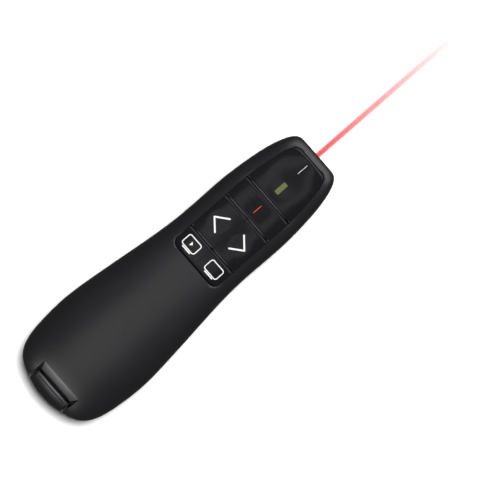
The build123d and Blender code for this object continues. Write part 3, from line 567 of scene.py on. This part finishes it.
laser_low, laser_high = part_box("laser_key")
page_low, page_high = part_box("next_key")
small_low, small_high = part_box("blank_screen_key")
window_low, window_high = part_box("status_window")
LASER_Y = (laser_low.y + laser_high.y) / 2
PAGE_Y = (page_low.y + page_high.y) / 2
SMALL_Y = (small_low.y + small_high.y) / 2
KEY_X = 5.25 * MM
DISH_Y = (window_low.y + window_high.y) / 2 + 4.15 * MM
DISH_RADIUS = 8.4 * MM
HALF_GAP = 0.15 * MM                  # half the gap between two solid keys
GROOVES = (laser_high.y + HALF_GAP, laser_low.y - HALF_GAP, page_low.y - HALF_GAP)
OFF_GROOVES = 0.9 * MM                # margins that keep the rays on the bare crown
OFF_LASER_DIP = 4.6 * MM
OFF_PAGE_DIPS = 5.2 * MM
OFF_DISH = DISH_RADIUS + 0.4 * MM
PLAIN_WIDTHS = (                      # up to this y, half the width of the plain zone
    (41 * MM, 8.8 * MM),
    (50 * MM, 6.6 * MM),
    (60 * MM, 4.6 * MM),
)
RAY_STEP = 0.55                       # mm
RAYS_X = np.arange(-8.8, 8.9, RAY_STEP) * MM
RAYS_Y = np.arange(6.4, 54.6, RAY_STEP) * MM


def is_plain(x, y):
    """True where the solids show the bare crown, away from dips, grooves and rims."""
    side = abs(x)
    if any(abs(y - groove) < OFF_GROOVES for groove in GROOVES):
        return False
    if y < GROOVES[1] and side < OFF_GROOVES:
        return False
    dips = ((0.0, LASER_Y, OFF_LASER_DIP), (KEY_X, PAGE_Y, OFF_PAGE_DIPS), (0.0, DISH_Y, OFF_DISH))
    if any(math.hypot(side - dip_x, y - dip_y) < off for dip_x, dip_y, off in dips):
        return False
    return side < next(width for end, width in PLAIN_WIDTHS if y < end)


def crown_terms(x, y):
    """The polynomial's terms at arrays of places."""
    u = (x / SCALE_X) ** 2
    v = y / SCALE_Y
    return np.stack([u ** i * v ** j for i in range(3) for j in range(4)], axis=-1)


rubber = tree_of((*KEY_NODES, "keypad_mat"))
found = []
for x in RAYS_X:
    for y in RAYS_Y:
        if is_plain(x, y):
            hit = rubber.ray_cast(Vector((x, y, SKY)), DOWN)[0]
            if hit is not None:
                found.append((x, y, hit.z))
found = np.array(found)
crown, _, _, _ = np.linalg.lstsq(crown_terms(found[:, 0], found[:, 1]), found[:, 2], rcond=None)
misfit = np.abs(crown_terms(found[:, 0], found[:, 1]) @ crown - found[:, 2]).max()
print("crown from", len(found), "rays; largest misfit", round(float(misfit) / MM, 3), "mm")

# %% Dips
DIPS = {                              # x, y, reach along x, reach along y, depth
    "front": (0.0, DISH_Y, DISH_RADIUS, DISH_RADIUS, 0.48 * MM),
    "laser": (0.0, LASER_Y, 5.0 * MM, 6.4 * MM, 0.10 * MM),
    "page": (KEY_X, PAGE_Y, 4.2 * MM, 4.4 * MM, 0.28 * MM),
    "small": (KEY_X, SMALL_Y, 4.4 * MM, 3.6 * MM, 0.10 * MM),
}


def skin_height(x, y, kind):
    """Height of a skin at arrays of places, without its rolled edge."""
    dip_x, dip_y, reach_x, reach_y, depth = DIPS[kind]
    far = ((np.abs(x) - dip_x) / reach_x) ** 2 + ((y - dip_y) / reach_y) ** 2
    return crown_terms(x, y) @ crown + SKIN_RISE - depth * np.clip(1 - far, 0, None) ** 2


# %% Outlines
SAME_PLACE = 1e-9                     # metres: what lies this near is taken as one place


def rounded_outline(corners, radii, steps=9):
    """A closed anticlockwise outline from corner points and the radius of each corner."""
    path = []
    count = len(corners)
    for i in range(count):
        here = np.array(corners[i])
        back = np.array(corners[i - 1]) - here
        ahead = np.array(corners[(i + 1) % count]) - here
        back = back / np.linalg.norm(back)
        ahead = ahead / np.linalg.norm(ahead)
        half_angle = math.acos(float(np.clip(back @ ahead, -1, 1))) / 2
        inwards = (back + ahead) / np.linalg.norm(back + ahead)
        centre = here + inwards * radii[i] / math.sin(half_angle)
        start = here + back * radii[i] / math.tan(half_angle) - centre
        first = math.atan2(start[1], start[0])
        turn = math.pi - 2 * half_angle
        for k in range(steps + 1):
            angle = first + turn * k / steps
            path.append(centre + radii[i] * np.array((math.cos(angle), math.sin(angle))))
    return np.array(path)


def span_at(outline, y):
    """The outline's least and greatest x at y."""
    crossings = []
    for (ax, ay), (bx, by) in zip(outline, np.roll(outline, -1, axis=0)):
        if min(ay, by) - SAME_PLACE <= y <= max(ay, by) + SAME_PLACE:
            if abs(by - ay) < SAME_PLACE:
                crossings += [ax, bx]
            else:
                crossings.append(ax + (bx - ax) * min(1.0, max(0.0, (y - ay) / (by - ay))))
    return min(crossings), max(crossings)


def rim_distance(outline, x, y):
    """Distance of each point to the outline, and the outward direction of the nearest side."""
    along = np.roll(outline, -1, axis=0) - outline
    size = (along ** 2).sum(axis=1) + 1e-18
    offset = np.stack([x, y], axis=-1)[:, None, :] - outline
    share = np.clip((offset * along).sum(axis=2) / size, 0, 1)
    gap = np.linalg.norm(offset - share[..., None] * along, axis=2)
    nearest = gap.argmin(axis=1)
    side = along[nearest] / np.sqrt(size[nearest])[:, None]
    return gap[np.arange(len(x)), nearest], side[:, 1], -side[:, 0]


# %% Skin builder
EDGE_STEPS = np.array((0, 0.02, 0.06, 0.12, 0.20, 0.31, 0.45, 0.64, 0.90, 1.20, 1.50)) * MM
GROOVE_ROLL = 1.45 * MM               # reach of the rolled edge beside a groove
ROLL_FLATNESS = 0.5                   # its height against its reach
SIDE_ROLL = 0.08 * MM
SPLIT_ROLL = 0.02 * MM                # where two keys of a pair meet
FACES_MIDDLE = 1e-6                   # metres: tells the inner side of such a key
SKIN_FOOT = 17.9 * MM
SKIN_THICKNESS = 0.12 * MM
SKIN_GRIDS = {                        # columns and rows between the crowded ends
    "front": (44, 44),
    "laser": (44, 18),
    "page": (26, 32),
    "small": (26, 18),
}


def crowded(low, high, count):
    """Positions from low to high, crowded towards both ends."""
    ends = EDGE_STEPS * min(1.0, (high - low) / (4 * EDGE_STEPS[-1]))
    middle = np.linspace(low + ends[-1], high - ends[-1], count)
    return np.concatenate([low + ends[:-1], middle, (high - ends[:-1])[::-1]])


def mesh_object(name, points, faces, smooth=True):
    """A mesh object in metres."""
    mesh = bpy.data.meshes.new(name)
    mesh.from_pydata([tuple(p) for p in points], [], faces)
    mesh.validate()
    if smooth:
        mesh.shade_smooth()
    piece = bpy.data.objects.new(name, mesh)
    bpy.context.scene.collection.objects.link(piece)
    return piece


def grid_faces(rows, columns):
    """The quads of a grid of points, row by row."""
    return [(r * columns + c, r * columns + c + 1, (r + 1) * columns + c + 1, (r + 1) * columns + c)
            for r in range(rows - 1) for c in range(columns - 1)]


def grid_rim(rows, columns):
    """The border of a grid of points, anticlockwise from the first."""
    return (list(range(columns)) + [r * columns + columns - 1 for r in range(1, rows)]
            + [(rows - 1) * columns + c for c in range(columns - 2, -1, -1)]
            + [r * columns for r in range(rows - 2, 0, -1)])


def skirted_shell(name, tops, foot, body, slot_name):
    """A shell from rows of top points, with a skirt down to foot all round."""
    rows, columns, _ = tops.shape
    points = [tuple(p) for p in tops.reshape(-1, 3)]
    faces = grid_faces(rows, columns)
    rim = grid_rim(rows, columns)
    first = len(points)
    points += [(points[i][0], points[i][1], foot) for i in rim]
    count = len(rim)
    faces += [(rim[(k + 1) % count], rim[k], first + k, first + (k + 1) % count) for k in range(count)]
    skin = mesh_object(name, points, faces)
    shell = skin.modifiers.new("thickness", "SOLIDIFY")
    shell.thickness = SKIN_THICKNESS
    shell.offset = -1
    skin.data.materials.append(finishes[slot_name])
    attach(skin, body)
    return skin


def make_skin(name, outline, kind, body, slot_name="key_rubber"):
    """A key's skin over its outline, with rolled edges."""
    columns, rows = SKIN_GRIDS[kind]
    ys = crowded(outline[:, 1].min(), outline[:, 1].max(), rows)
    grid = np.array([[(x, y) for x in crowded(*span_at(outline, y), columns)] for y in ys])
    flat = grid.reshape(-1, 2)
    gap, face_x, face_y = rim_distance(outline, flat[:, 0], flat[:, 1])
    across = np.where(face_x * flat[:, 0].mean() < -FACES_MIDDLE, SPLIT_ROLL, SIDE_ROLL)
    roll = GROOVE_ROLL * face_y ** 2 + across * face_x ** 2
    depth = np.clip(roll - gap, 0, None)
    drop = roll - np.sqrt(np.clip(roll ** 2 - depth ** 2, 0, None))
    tops = skin_height(flat[:, 0], flat[:, 1], kind) - ROLL_FLATNESS * drop
    tops = np.column_stack([flat, tops]).reshape(*grid.shape[:2], 3)
    return skirted_shell(name, tops, SKIN_FOOT, body, slot_name)


# %% Skins
SIDE_X = page_high.x + 0.22 * MM      # the skins close most of the gap to the case
CLOSER = 0.11 * MM                    # and some of the gaps between the keys
CORNER = 0.35 * MM
PAIR_CORNER = CORNER / 2
REAR_CORNER = 2.4 * MM
SPLIT_GAP = 0.006 * MM                # from the middle to each key of a pair
FRONT_TAPER = (                       # in from the side, back from the front edge, radius
    (0.5 * MM, 13.05 * MM, 20 * MM),
    (1.8 * MM, 4.25 * MM, 6 * MM),
    (3.7 * MM, 0.35 * MM, 2.6 * MM),
)


def box_outline(x0, x1, y0, y1, radii):
    """A rectangle with its own radius at each corner: rear left, rear right, front right, front left."""
    return rounded_outline([(x0, y0), (x1, y0), (x1, y1), (x0, y1)], radii)


front_low = GROOVES[0] + HALF_GAP - CLOSER
front_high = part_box("keypad_mat")[1].y
taper = [(SIDE_X - inward, front_high - back) for inward, back, _ in FRONT_TAPER]
taper_radii = [radius for _, _, radius in FRONT_TAPER]
other_side = [(-x, y) for x, y in reversed(taper)]
front_corners = [(-SIDE_X, front_low), (SIDE_X, front_low), *taper, *other_side]
front_outline = rounded_outline(front_corners, [CORNER, CORNER, *taper_radii, *reversed(taper_radii)])
laser_outline = box_outline(-SIDE_X, SIDE_X, laser_low.y - CLOSER, laser_high.y + CLOSER, (CORNER,) * 4)
skins = [
    make_skin("front_zone_skin", front_outline, "front", "housing", "mat_rubber"),
    make_skin("laser_key_skin", laser_outline, "laser", "laser_key"),
]
PAIRS = ((1, "next_key", "blank_screen_key"), (-1, "previous_key", "slideshow_key"))
for side, page_name, small_name in PAIRS:
    across = sorted((side * SPLIT_GAP, side * SIDE_X))
    page_outline = box_outline(*across, page_low.y - CLOSER, page_high.y + CLOSER, (PAIR_CORNER,) * 4)
    rear_radii = sorted((PAIR_CORNER, REAR_CORNER), reverse=side < 0)
    small_outline = box_outline(*across, small_low.y, small_high.y + CLOSER,
                                (*rear_radii, PAIR_CORNER, PAIR_CORNER))
    skins.append(make_skin(page_name + "_skin", page_outline, "page", page_name))
    skins.append(make_skin(small_name + "_skin", small_outline, "small", small_name))
print("skins:", [s.name for s in skins])

# %% [markdown]
# ## The thumb notch
#
# The solid's slope above the receiver is one plane, so on the domed back its front edge bows. On the
# moulding that edge runs straight across. A cutter takes the corners down: its underside starts on the
# case's own surface, measured by rays along a straight line, and falls towards the tail at one slope.
# Along both sides it sinks into a gutter that widens towards the tail and runs on beside the receiver.

# %% Notch cutter
NOTCH_FRONT = cad_box[0].y + 8.35 * MM
NOTCH_END = cad_box[0].y + 5.05 * MM
NOTCH_HALF = 8.2 * MM
NOTCH_SLOPE = 0.70
NOTCH_CURVE = 60.0                    # per metre: the slope steepens towards the tail
GUTTER_START = 0.05 * MM              # width of a gutter at the notch's front
GUTTER_WIDTH = 1.7 * MM               # how much it widens
GUTTER_DEPTH = 1.3 * MM
CUTTER_TOP = 40 * MM
NOTCH_ROWS = 7
NOTCH_COLUMNS = 37
case_tree = tree_of(("upper_case",))


def case_height(x, y):
    """Height of the case's own surface."""
    return case_tree.ray_cast(Vector((x, y, SKY)), DOWN)[0].z


def build_notch_cutter():
    """The closed tool that is cut out of the case."""
    points = []
    for r in range(NOTCH_ROWS):
        share = r / (NOTCH_ROWS - 1)
        y = NOTCH_FRONT + (NOTCH_END - NOTCH_FRONT) * share
        inner = NOTCH_HALF - GUTTER_START - GUTTER_WIDTH * share
        floor_x = np.linspace(-inner, inner, NOTCH_COLUMNS - 2)
        for x in np.concatenate([[-NOTCH_HALF], floor_x, [NOTCH_HALF]]):
            sink = GUTTER_DEPTH * share if abs(x) > inner + SAME_PLACE else 0.0
            fall = NOTCH_SLOPE * (NOTCH_FRONT - y) + NOTCH_CURVE * (NOTCH_FRONT - y) ** 2
            points.append((x, y, case_height(x, NOTCH_FRONT) - fall - sink))
    lid = len(points)
    points += [(x, y, CUTTER_TOP) for x, y, z in points]
    faces = []
    for quad in grid_faces(NOTCH_ROWS, NOTCH_COLUMNS):
        faces += [quad, tuple(lid + k for k in reversed(quad))]
    rim = grid_rim(NOTCH_ROWS, NOTCH_COLUMNS)
    for a, b in zip(rim, rim[1:] + rim[:1]):
        faces.append((a, b, lid + b, lid + a))
    tool = mesh_object("notch_cutter", points, faces, smooth=False)
    shaper = bmesh.new()
    shaper.from_mesh(tool.data)
    bmesh.ops.recalc_face_normals(shaper, faces=shaper.faces)
    shaper.to_mesh(tool.data)
    shaper.free()
    tool.hide_render = True
    tool.hide_viewport = True
    return tool


notch_cutter = build_notch_cutter()
cut = nodes["upper_case"].modifiers.new("thumb_notch", "BOOLEAN")
cut.operation = "DIFFERENCE"
cut.object = notch_cutter
print("notch starts at y =", round(NOTCH_FRONT / MM, 1), "mm")

# %% [markdown]
# The receiver's lip gets a skin like the keys'. It keeps the solid's height along the middle, rolls over
# at its front edge and falls away to both sides, where the solid is cut off flat.

# %% Lip of the receiver
LIP_HALF = 7.25 * MM
LIP_FRONT = cad_box[0].y + 5.00 * MM
LIP_END = cad_box[0].y + 0.02 * MM
LIP_END_BOW = 0.80 * MM               # how much further forward the lip ends at its sides
LIP_CROWN = 1.1 * MM                  # how much lower the lip is at its sides
LIP_ROLL = 0.32 * MM
LIP_RISE = 0.10 * MM
LIP_FOOT = 15.3 * MM
LIP_SKIRT = 0.1 * MM                  # least height of the lip above its foot
LIP_COLUMNS = 45
LIP_SHARES = np.concatenate([EDGE_STEPS[:-1] / (LIP_FRONT - LIP_END), np.linspace(0.23, 1.0, 22)])
SOLID_FRONT = LIP_FRONT - 0.45 * MM   # the solid is plain between these places
SOLID_END = cad_box[0].y + 0.06 * MM
SLOPE_STEP = 0.1 * MM
lip_tree = tree_of(("receiver_grip",))


def lip_height(y):
    """The solid's height along its middle, carried on straight beyond its front edge."""
    first, second = (lip_tree.ray_cast(Vector((0, place, SKY)), DOWN)[0].z
                     for place in (max(min(y, SOLID_FRONT), SOLID_END), SOLID_FRONT - SLOPE_STEP))
    return first + max(0.0, y - SOLID_FRONT) * (first - second) / SLOPE_STEP


def build_lip():
    """The lip's skin, in rows from the tail forwards."""
    rows = []
    for share in LIP_SHARES[::-1]:
        middle_y = LIP_FRONT + (LIP_END - LIP_FRONT) * share
        inward = max(0.0, LIP_ROLL - (LIP_FRONT - middle_y))
        drop = LIP_ROLL - math.sqrt(LIP_ROLL ** 2 - inward ** 2)
        height = lip_height(middle_y) + LIP_RISE - drop
        row = []
        for side in np.linspace(-1, 1, LIP_COLUMNS):
            end = LIP_END + LIP_END_BOW * side ** 2
            top = max(height - LIP_CROWN * abs(side) ** 3, LIP_FOOT + LIP_SKIRT)
            row.append((side * LIP_HALF, LIP_FRONT + (end - LIP_FRONT) * share, top))
        rows.append(row)
    return skirted_shell("receiver_lip_skin", np.array(rows), LIP_FOOT, "usb_receiver", "receiver_black")


lip_skin = build_lip()
print("lip:", [round(c / MM, 2) for v in (lip_skin.bound_box[0], lip_skin.bound_box[6]) for c in v])

# %% [markdown]
# ## Printed symbols
#
# The symbols are pad printed: a thin film of ink that follows the rubber. Each is drawn as a distance
# field in plan (capsules for strokes, a rounded box for the screen), and the part below zero is cut out
# of a fine grid by marching squares, laid on the skin and given the thickness of the ink.

# %% Ink
INK = {"roughness": 0.45, "color_spread": 0.02, "wear": 0, "dust": 0, "edge_width": 0.0,
       "grain_depth": 0.0, "specular": 0.3}
white_ink = finish("ink_white", (0.72, 0.72, 0.72), **INK)
red_ink = finish("ink_red", (0.90, 0.050, 0.025), **INK)
INK_THICKNESS = 0.03 * MM
INK_STEP = 0.07 * MM


# %% Distance fields
def stroke(x, y, start, end, radius):
    """Distance to a stroke with round ends."""
    ax, ay = start
    dx, dy = end[0] - ax, end[1] - ay
    share = np.clip(((x - ax) * dx + (y - ay) * dy) / (dx * dx + dy * dy), 0, 1)
    return np.hypot(x - ax - share * dx, y - ay - share * dy) - radius


def rounded_box(x, y, centre, half_x, half_y, corner):
    """Distance to a rectangle with round corners."""
    qx = np.abs(x - centre[0]) - half_x + corner
    qy = np.abs(y - centre[1]) - half_y + corner
    return np.hypot(np.maximum(qx, 0), np.maximum(qy, 0)) + np.minimum(np.maximum(qx, qy), 0) - corner


def triangle(x, y, tip, back, half_base):
    """Distance, roughly, to a triangle that points along +X."""
    slope = half_base / (tip - back)
    return np.maximum(back - x, (np.abs(y) - (tip - x) * slope) / math.hypot(1, slope))


# %% Print builder
def print_shape(name, distance, middle, half, kind, body, ink):
    """A printed mark: where distance(x, y) is below zero in a window, laid on the skin."""
    xs, ys = (np.arange(m - h, m + h + INK_STEP, INK_STEP) for m, h in zip(middle, half))
    field = distance(*np.meshgrid(xs, ys, indexing="ij"))
    places, faces, known = [], [], {}

    def corner(key, x, y):
        if key not in known:
            known[key] = len(places)
            places.append((x, y))
        return known[key]

    for i in range(len(xs) - 1):
        for j in range(len(ys) - 1):
            ring = ((i, j), (i + 1, j), (i + 1, j + 1), (i, j + 1))
            values = [field[c] for c in ring]
            if min(values) >= 0:
                continue
            face = []
            for k in range(4):
                here, there = ring[k], ring[(k + 1) % 4]
                a, b = values[k], values[(k + 1) % 4]
                if a < 0:
                    face.append(corner(here, xs[here[0]], ys[here[1]]))
                if (a < 0) != (b < 0):
                    share = a / (a - b)
                    if here > there:
                        here, there, share = there, here, 1 - share
                    x = xs[here[0]] + share * (xs[there[0]] - xs[here[0]])
                    y = ys[here[1]] + share * (ys[there[1]] - ys[here[1]])
                    face.append(corner((here, there), x, y))
            faces.append(face)
    places = np.array(places)
    heights = skin_height(places[:, 0], places[:, 1], kind) + INK_THICKNESS
    mark = mesh_object(name, [(x, y, z) for (x, y), z in zip(places, heights)], faces)
    film = mark.modifiers.new("film", "SOLIDIFY")
    film.thickness = 2 * INK_THICKNESS
    film.offset = -1
    mark.data.materials.append(ink)
    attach(mark, body)
    return mark


# %% Marks
WHITE_LINE_Y = 51.5 * MM
WHITE_LINE = (1.95 * MM, 0.07 * MM)   # half the length between its round ends, and their radius
RED_LINE = (1.60 * MM, 0.09 * MM)
CHEVRON_BACK = 3.40 * MM              # from the middle to the open end of a chevron
CHEVRON_TIP = 7.20 * MM
CHEVRON_HALF = 3.14 * MM
STROKE = 0.27 * MM
SCREEN = (5.34 * MM, 9.58 * MM)       # the middle of the right screen
SCREEN_OUTSIDE = (2.92 * MM, 2.09 * MM, 0.90 * MM)    # half width, half height, corner
SCREEN_INSIDE = (2.60 * MM, 1.77 * MM, 0.62 * MM)
STAND_DROP = 2.46 * MM
STAND = (1.65 * MM, 0.20 * MM)        # half the length, radius
PLAY = (0.42 * MM, -0.45 * MM, 0.80 * MM)    # tip, back and half base of the triangle
WINDOW_RIM = (0.15 * MM, 0.10 * MM)   # how much narrower and shorter the face is than its solid
WINDOW_CORNER = 0.15 * MM
WINDOW_MIDDLE = (0.0, (window_low.y + window_high.y) / 2)
FIELD_X = 5.35 * MM                   # middle of the field in which a screen is drawn
PAGE_FIELD = (2.75 * MM, 4.0 * MM)    # half sizes of the fields
SMALL_FIELD = (3.45 * MM, 3.2 * MM)
WINDOW_FIELD = (window_high.x + MM, (window_high.y - window_low.y) / 2 + MM)


def upright_line(middle_y, line):
    """A line along the clicker, in its middle."""
    half, radius = line
    return lambda x, y: stroke(x, y, (0.0, middle_y - half), (0.0, middle_y + half), radius)


def chevron(x, y):
    """Both page chevrons, mirrored about the middle."""
    start, tip = (CHEVRON_BACK, CHEVRON_HALF), (CHEVRON_TIP, 0.0)
    return stroke(np.abs(x), np.abs(y - PAGE_Y), start, tip, STROKE)


def screen(x, y):
    """A screen's frame on a stand."""
    outside = rounded_box(x, y, SCREEN, *SCREEN_OUTSIDE)
    inside = rounded_box(x, y, SCREEN, *SCREEN_INSIDE)
    half, radius = STAND
    stand_y = SCREEN[1] - STAND_DROP
    stand = stroke(x, y, (SCREEN[0] - half, stand_y), (SCREEN[0] + half, stand_y), radius)
    return np.minimum(np.maximum(outside, -inside), stand)


def screen_with_play(x, y):
    """The same screen on the left, with a triangle that plays."""
    return np.minimum(screen(-x, y), triangle(x + SCREEN[0], y - SCREEN[1], *PLAY))


def window_face(x, y):
    """The status window's face."""
    half_x = window_high.x - WINDOW_RIM[0]
    half_y = (window_high.y - window_low.y) / 2 - WINDOW_RIM[1]
    return rounded_box(x, y, WINDOW_MIDDLE, half_x, half_y, WINDOW_CORNER)


PRINTS = {                            # shape, middle and half size of its field, skin, body, ink
    "mark_front_line": (upright_line(WHITE_LINE_Y, WHITE_LINE), (0.0, WHITE_LINE_Y),
                        (0.4 * MM, 2.6 * MM), "front", "housing", white_ink),
    "mark_laser_line": (upright_line(LASER_Y, RED_LINE), (0.0, LASER_Y), (0.5 * MM, 2.5 * MM),
                        "laser", "laser_key", red_ink),
    "mark_next": (chevron, (KEY_X, PAGE_Y), PAGE_FIELD, "page", "next_key", white_ink),
    "mark_previous": (chevron, (-KEY_X, PAGE_Y), PAGE_FIELD, "page", "previous_key", white_ink),
    "mark_blank_screen": (screen, (FIELD_X, SMALL_Y), SMALL_FIELD, "small", "blank_screen_key",
                          white_ink),
    "mark_slideshow": (screen_with_play, (-FIELD_X, SMALL_Y), SMALL_FIELD, "small", "slideshow_key",
                       white_ink),
    "status_window_face": (window_face, WINDOW_MIDDLE, WINDOW_FIELD, "front", "housing",
                           finishes["window_green"]),
}
marks = [print_shape(name, *settings) for name, settings in PRINTS.items()]
print("marks:", [m.name for m in marks])

# %% [markdown]
# ## The laser's beam
#
# The laser is on: a red streak from the nose that pales with distance. Light isn't part of the clicker,
# so it is staged. It is a thin cone whose surface is clear at its sides and red where one looks through
# most of it, which gives a soft round streak without any fog.

# %% Beam
BEAM_LENGTH = 72.0 * MM
BEAM_START = 0.95 * MM                # radius at the nose
BEAM_END = 1.15 * MM
BEAM_SHARE = 0.74                     # of the light behind one wall of the cone that the red replaces
BEAM_SIDES = 32
BEAM_RINGS = 24
BEAM_INSIDE = 0.5 * MM                # of the cone, behind the laser's window
BEAM_BLEND = 0.35                     # how far the clear sides reach inwards
BEAM_RED = (0.86, 0.035, 0.045, 1)
nose_y = cad_box[1].y
laser_z = (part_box("laser_barrel")[0].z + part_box("laser_barrel")[1].z) / 2


def build_beam():
    """The beam's open cone."""
    points, faces = [], []
    for r in range(BEAM_RINGS + 1):
        share = r / BEAM_RINGS
        radius = BEAM_START + (BEAM_END - BEAM_START) * share
        for k in range(BEAM_SIDES):
            angle = 2 * math.pi * k / BEAM_SIDES
            points.append((radius * math.cos(angle), nose_y - BEAM_INSIDE + BEAM_LENGTH * share,
                           laser_z + radius * math.sin(angle)))
    for r in range(BEAM_RINGS):
        for k in range(BEAM_SIDES):
            a = r * BEAM_SIDES + k
            b = r * BEAM_SIDES + (k + 1) % BEAM_SIDES
            faces.append((a, b, b + BEAM_SIDES, a + BEAM_SIDES))
    return mesh_object("laser_beam", points, faces)


def beam_material():
    """Red light that thins out to the sides and along the beam."""
    material = bpy.data.materials.new("laser_light")
    material.use_nodes = True
    tree = material.node_tree
    tree.nodes.remove(tree.nodes["Principled BSDF"])
    place = parts_of(tree, add(tree, "ShaderNodeNewGeometry").outputs["Position"])
    along = math_node(tree, "DIVIDE", math_node(tree, "SUBTRACT", place["Y"], nose_y), BEAM_LENGTH)
    along = math_node(tree, "MINIMUM", math_node(tree, "MAXIMUM", along, 0.0), 1.0)
    fade = math_node(tree, "SUBTRACT", 1.0, along)
    weight = add(tree, "ShaderNodeLayerWeight")
    weight.inputs["Blend"].default_value = BEAM_BLEND
    thick = math_node(tree, "SUBTRACT", 1.0, weight.outputs["Facing"])
    share = math_node(tree, "MULTIPLY", math_node(tree, "MULTIPLY", thick, fade), BEAM_SHARE)
    glow = add(tree, "ShaderNodeEmission")
    glow.inputs["Color"].default_value = BEAM_RED
    clear = add(tree, "ShaderNodeBsdfTransparent")
    mixed = add(tree, "ShaderNodeMixShader")
    tree.links.new(share, mixed.inputs[0])
    tree.links.new(clear.outputs[0], mixed.inputs[1])
    tree.links.new(glow.outputs[0], mixed.inputs[2])
    tree.links.new(mixed.outputs[0], tree.nodes["Material Output"].inputs["Surface"])
    return material


beam = build_beam()
beam.data.materials.append(beam_material())
beam.visible_shadow = False
print("beam from y =", round(nose_y / MM, 1), "mm at height", round(laser_z / MM, 1))
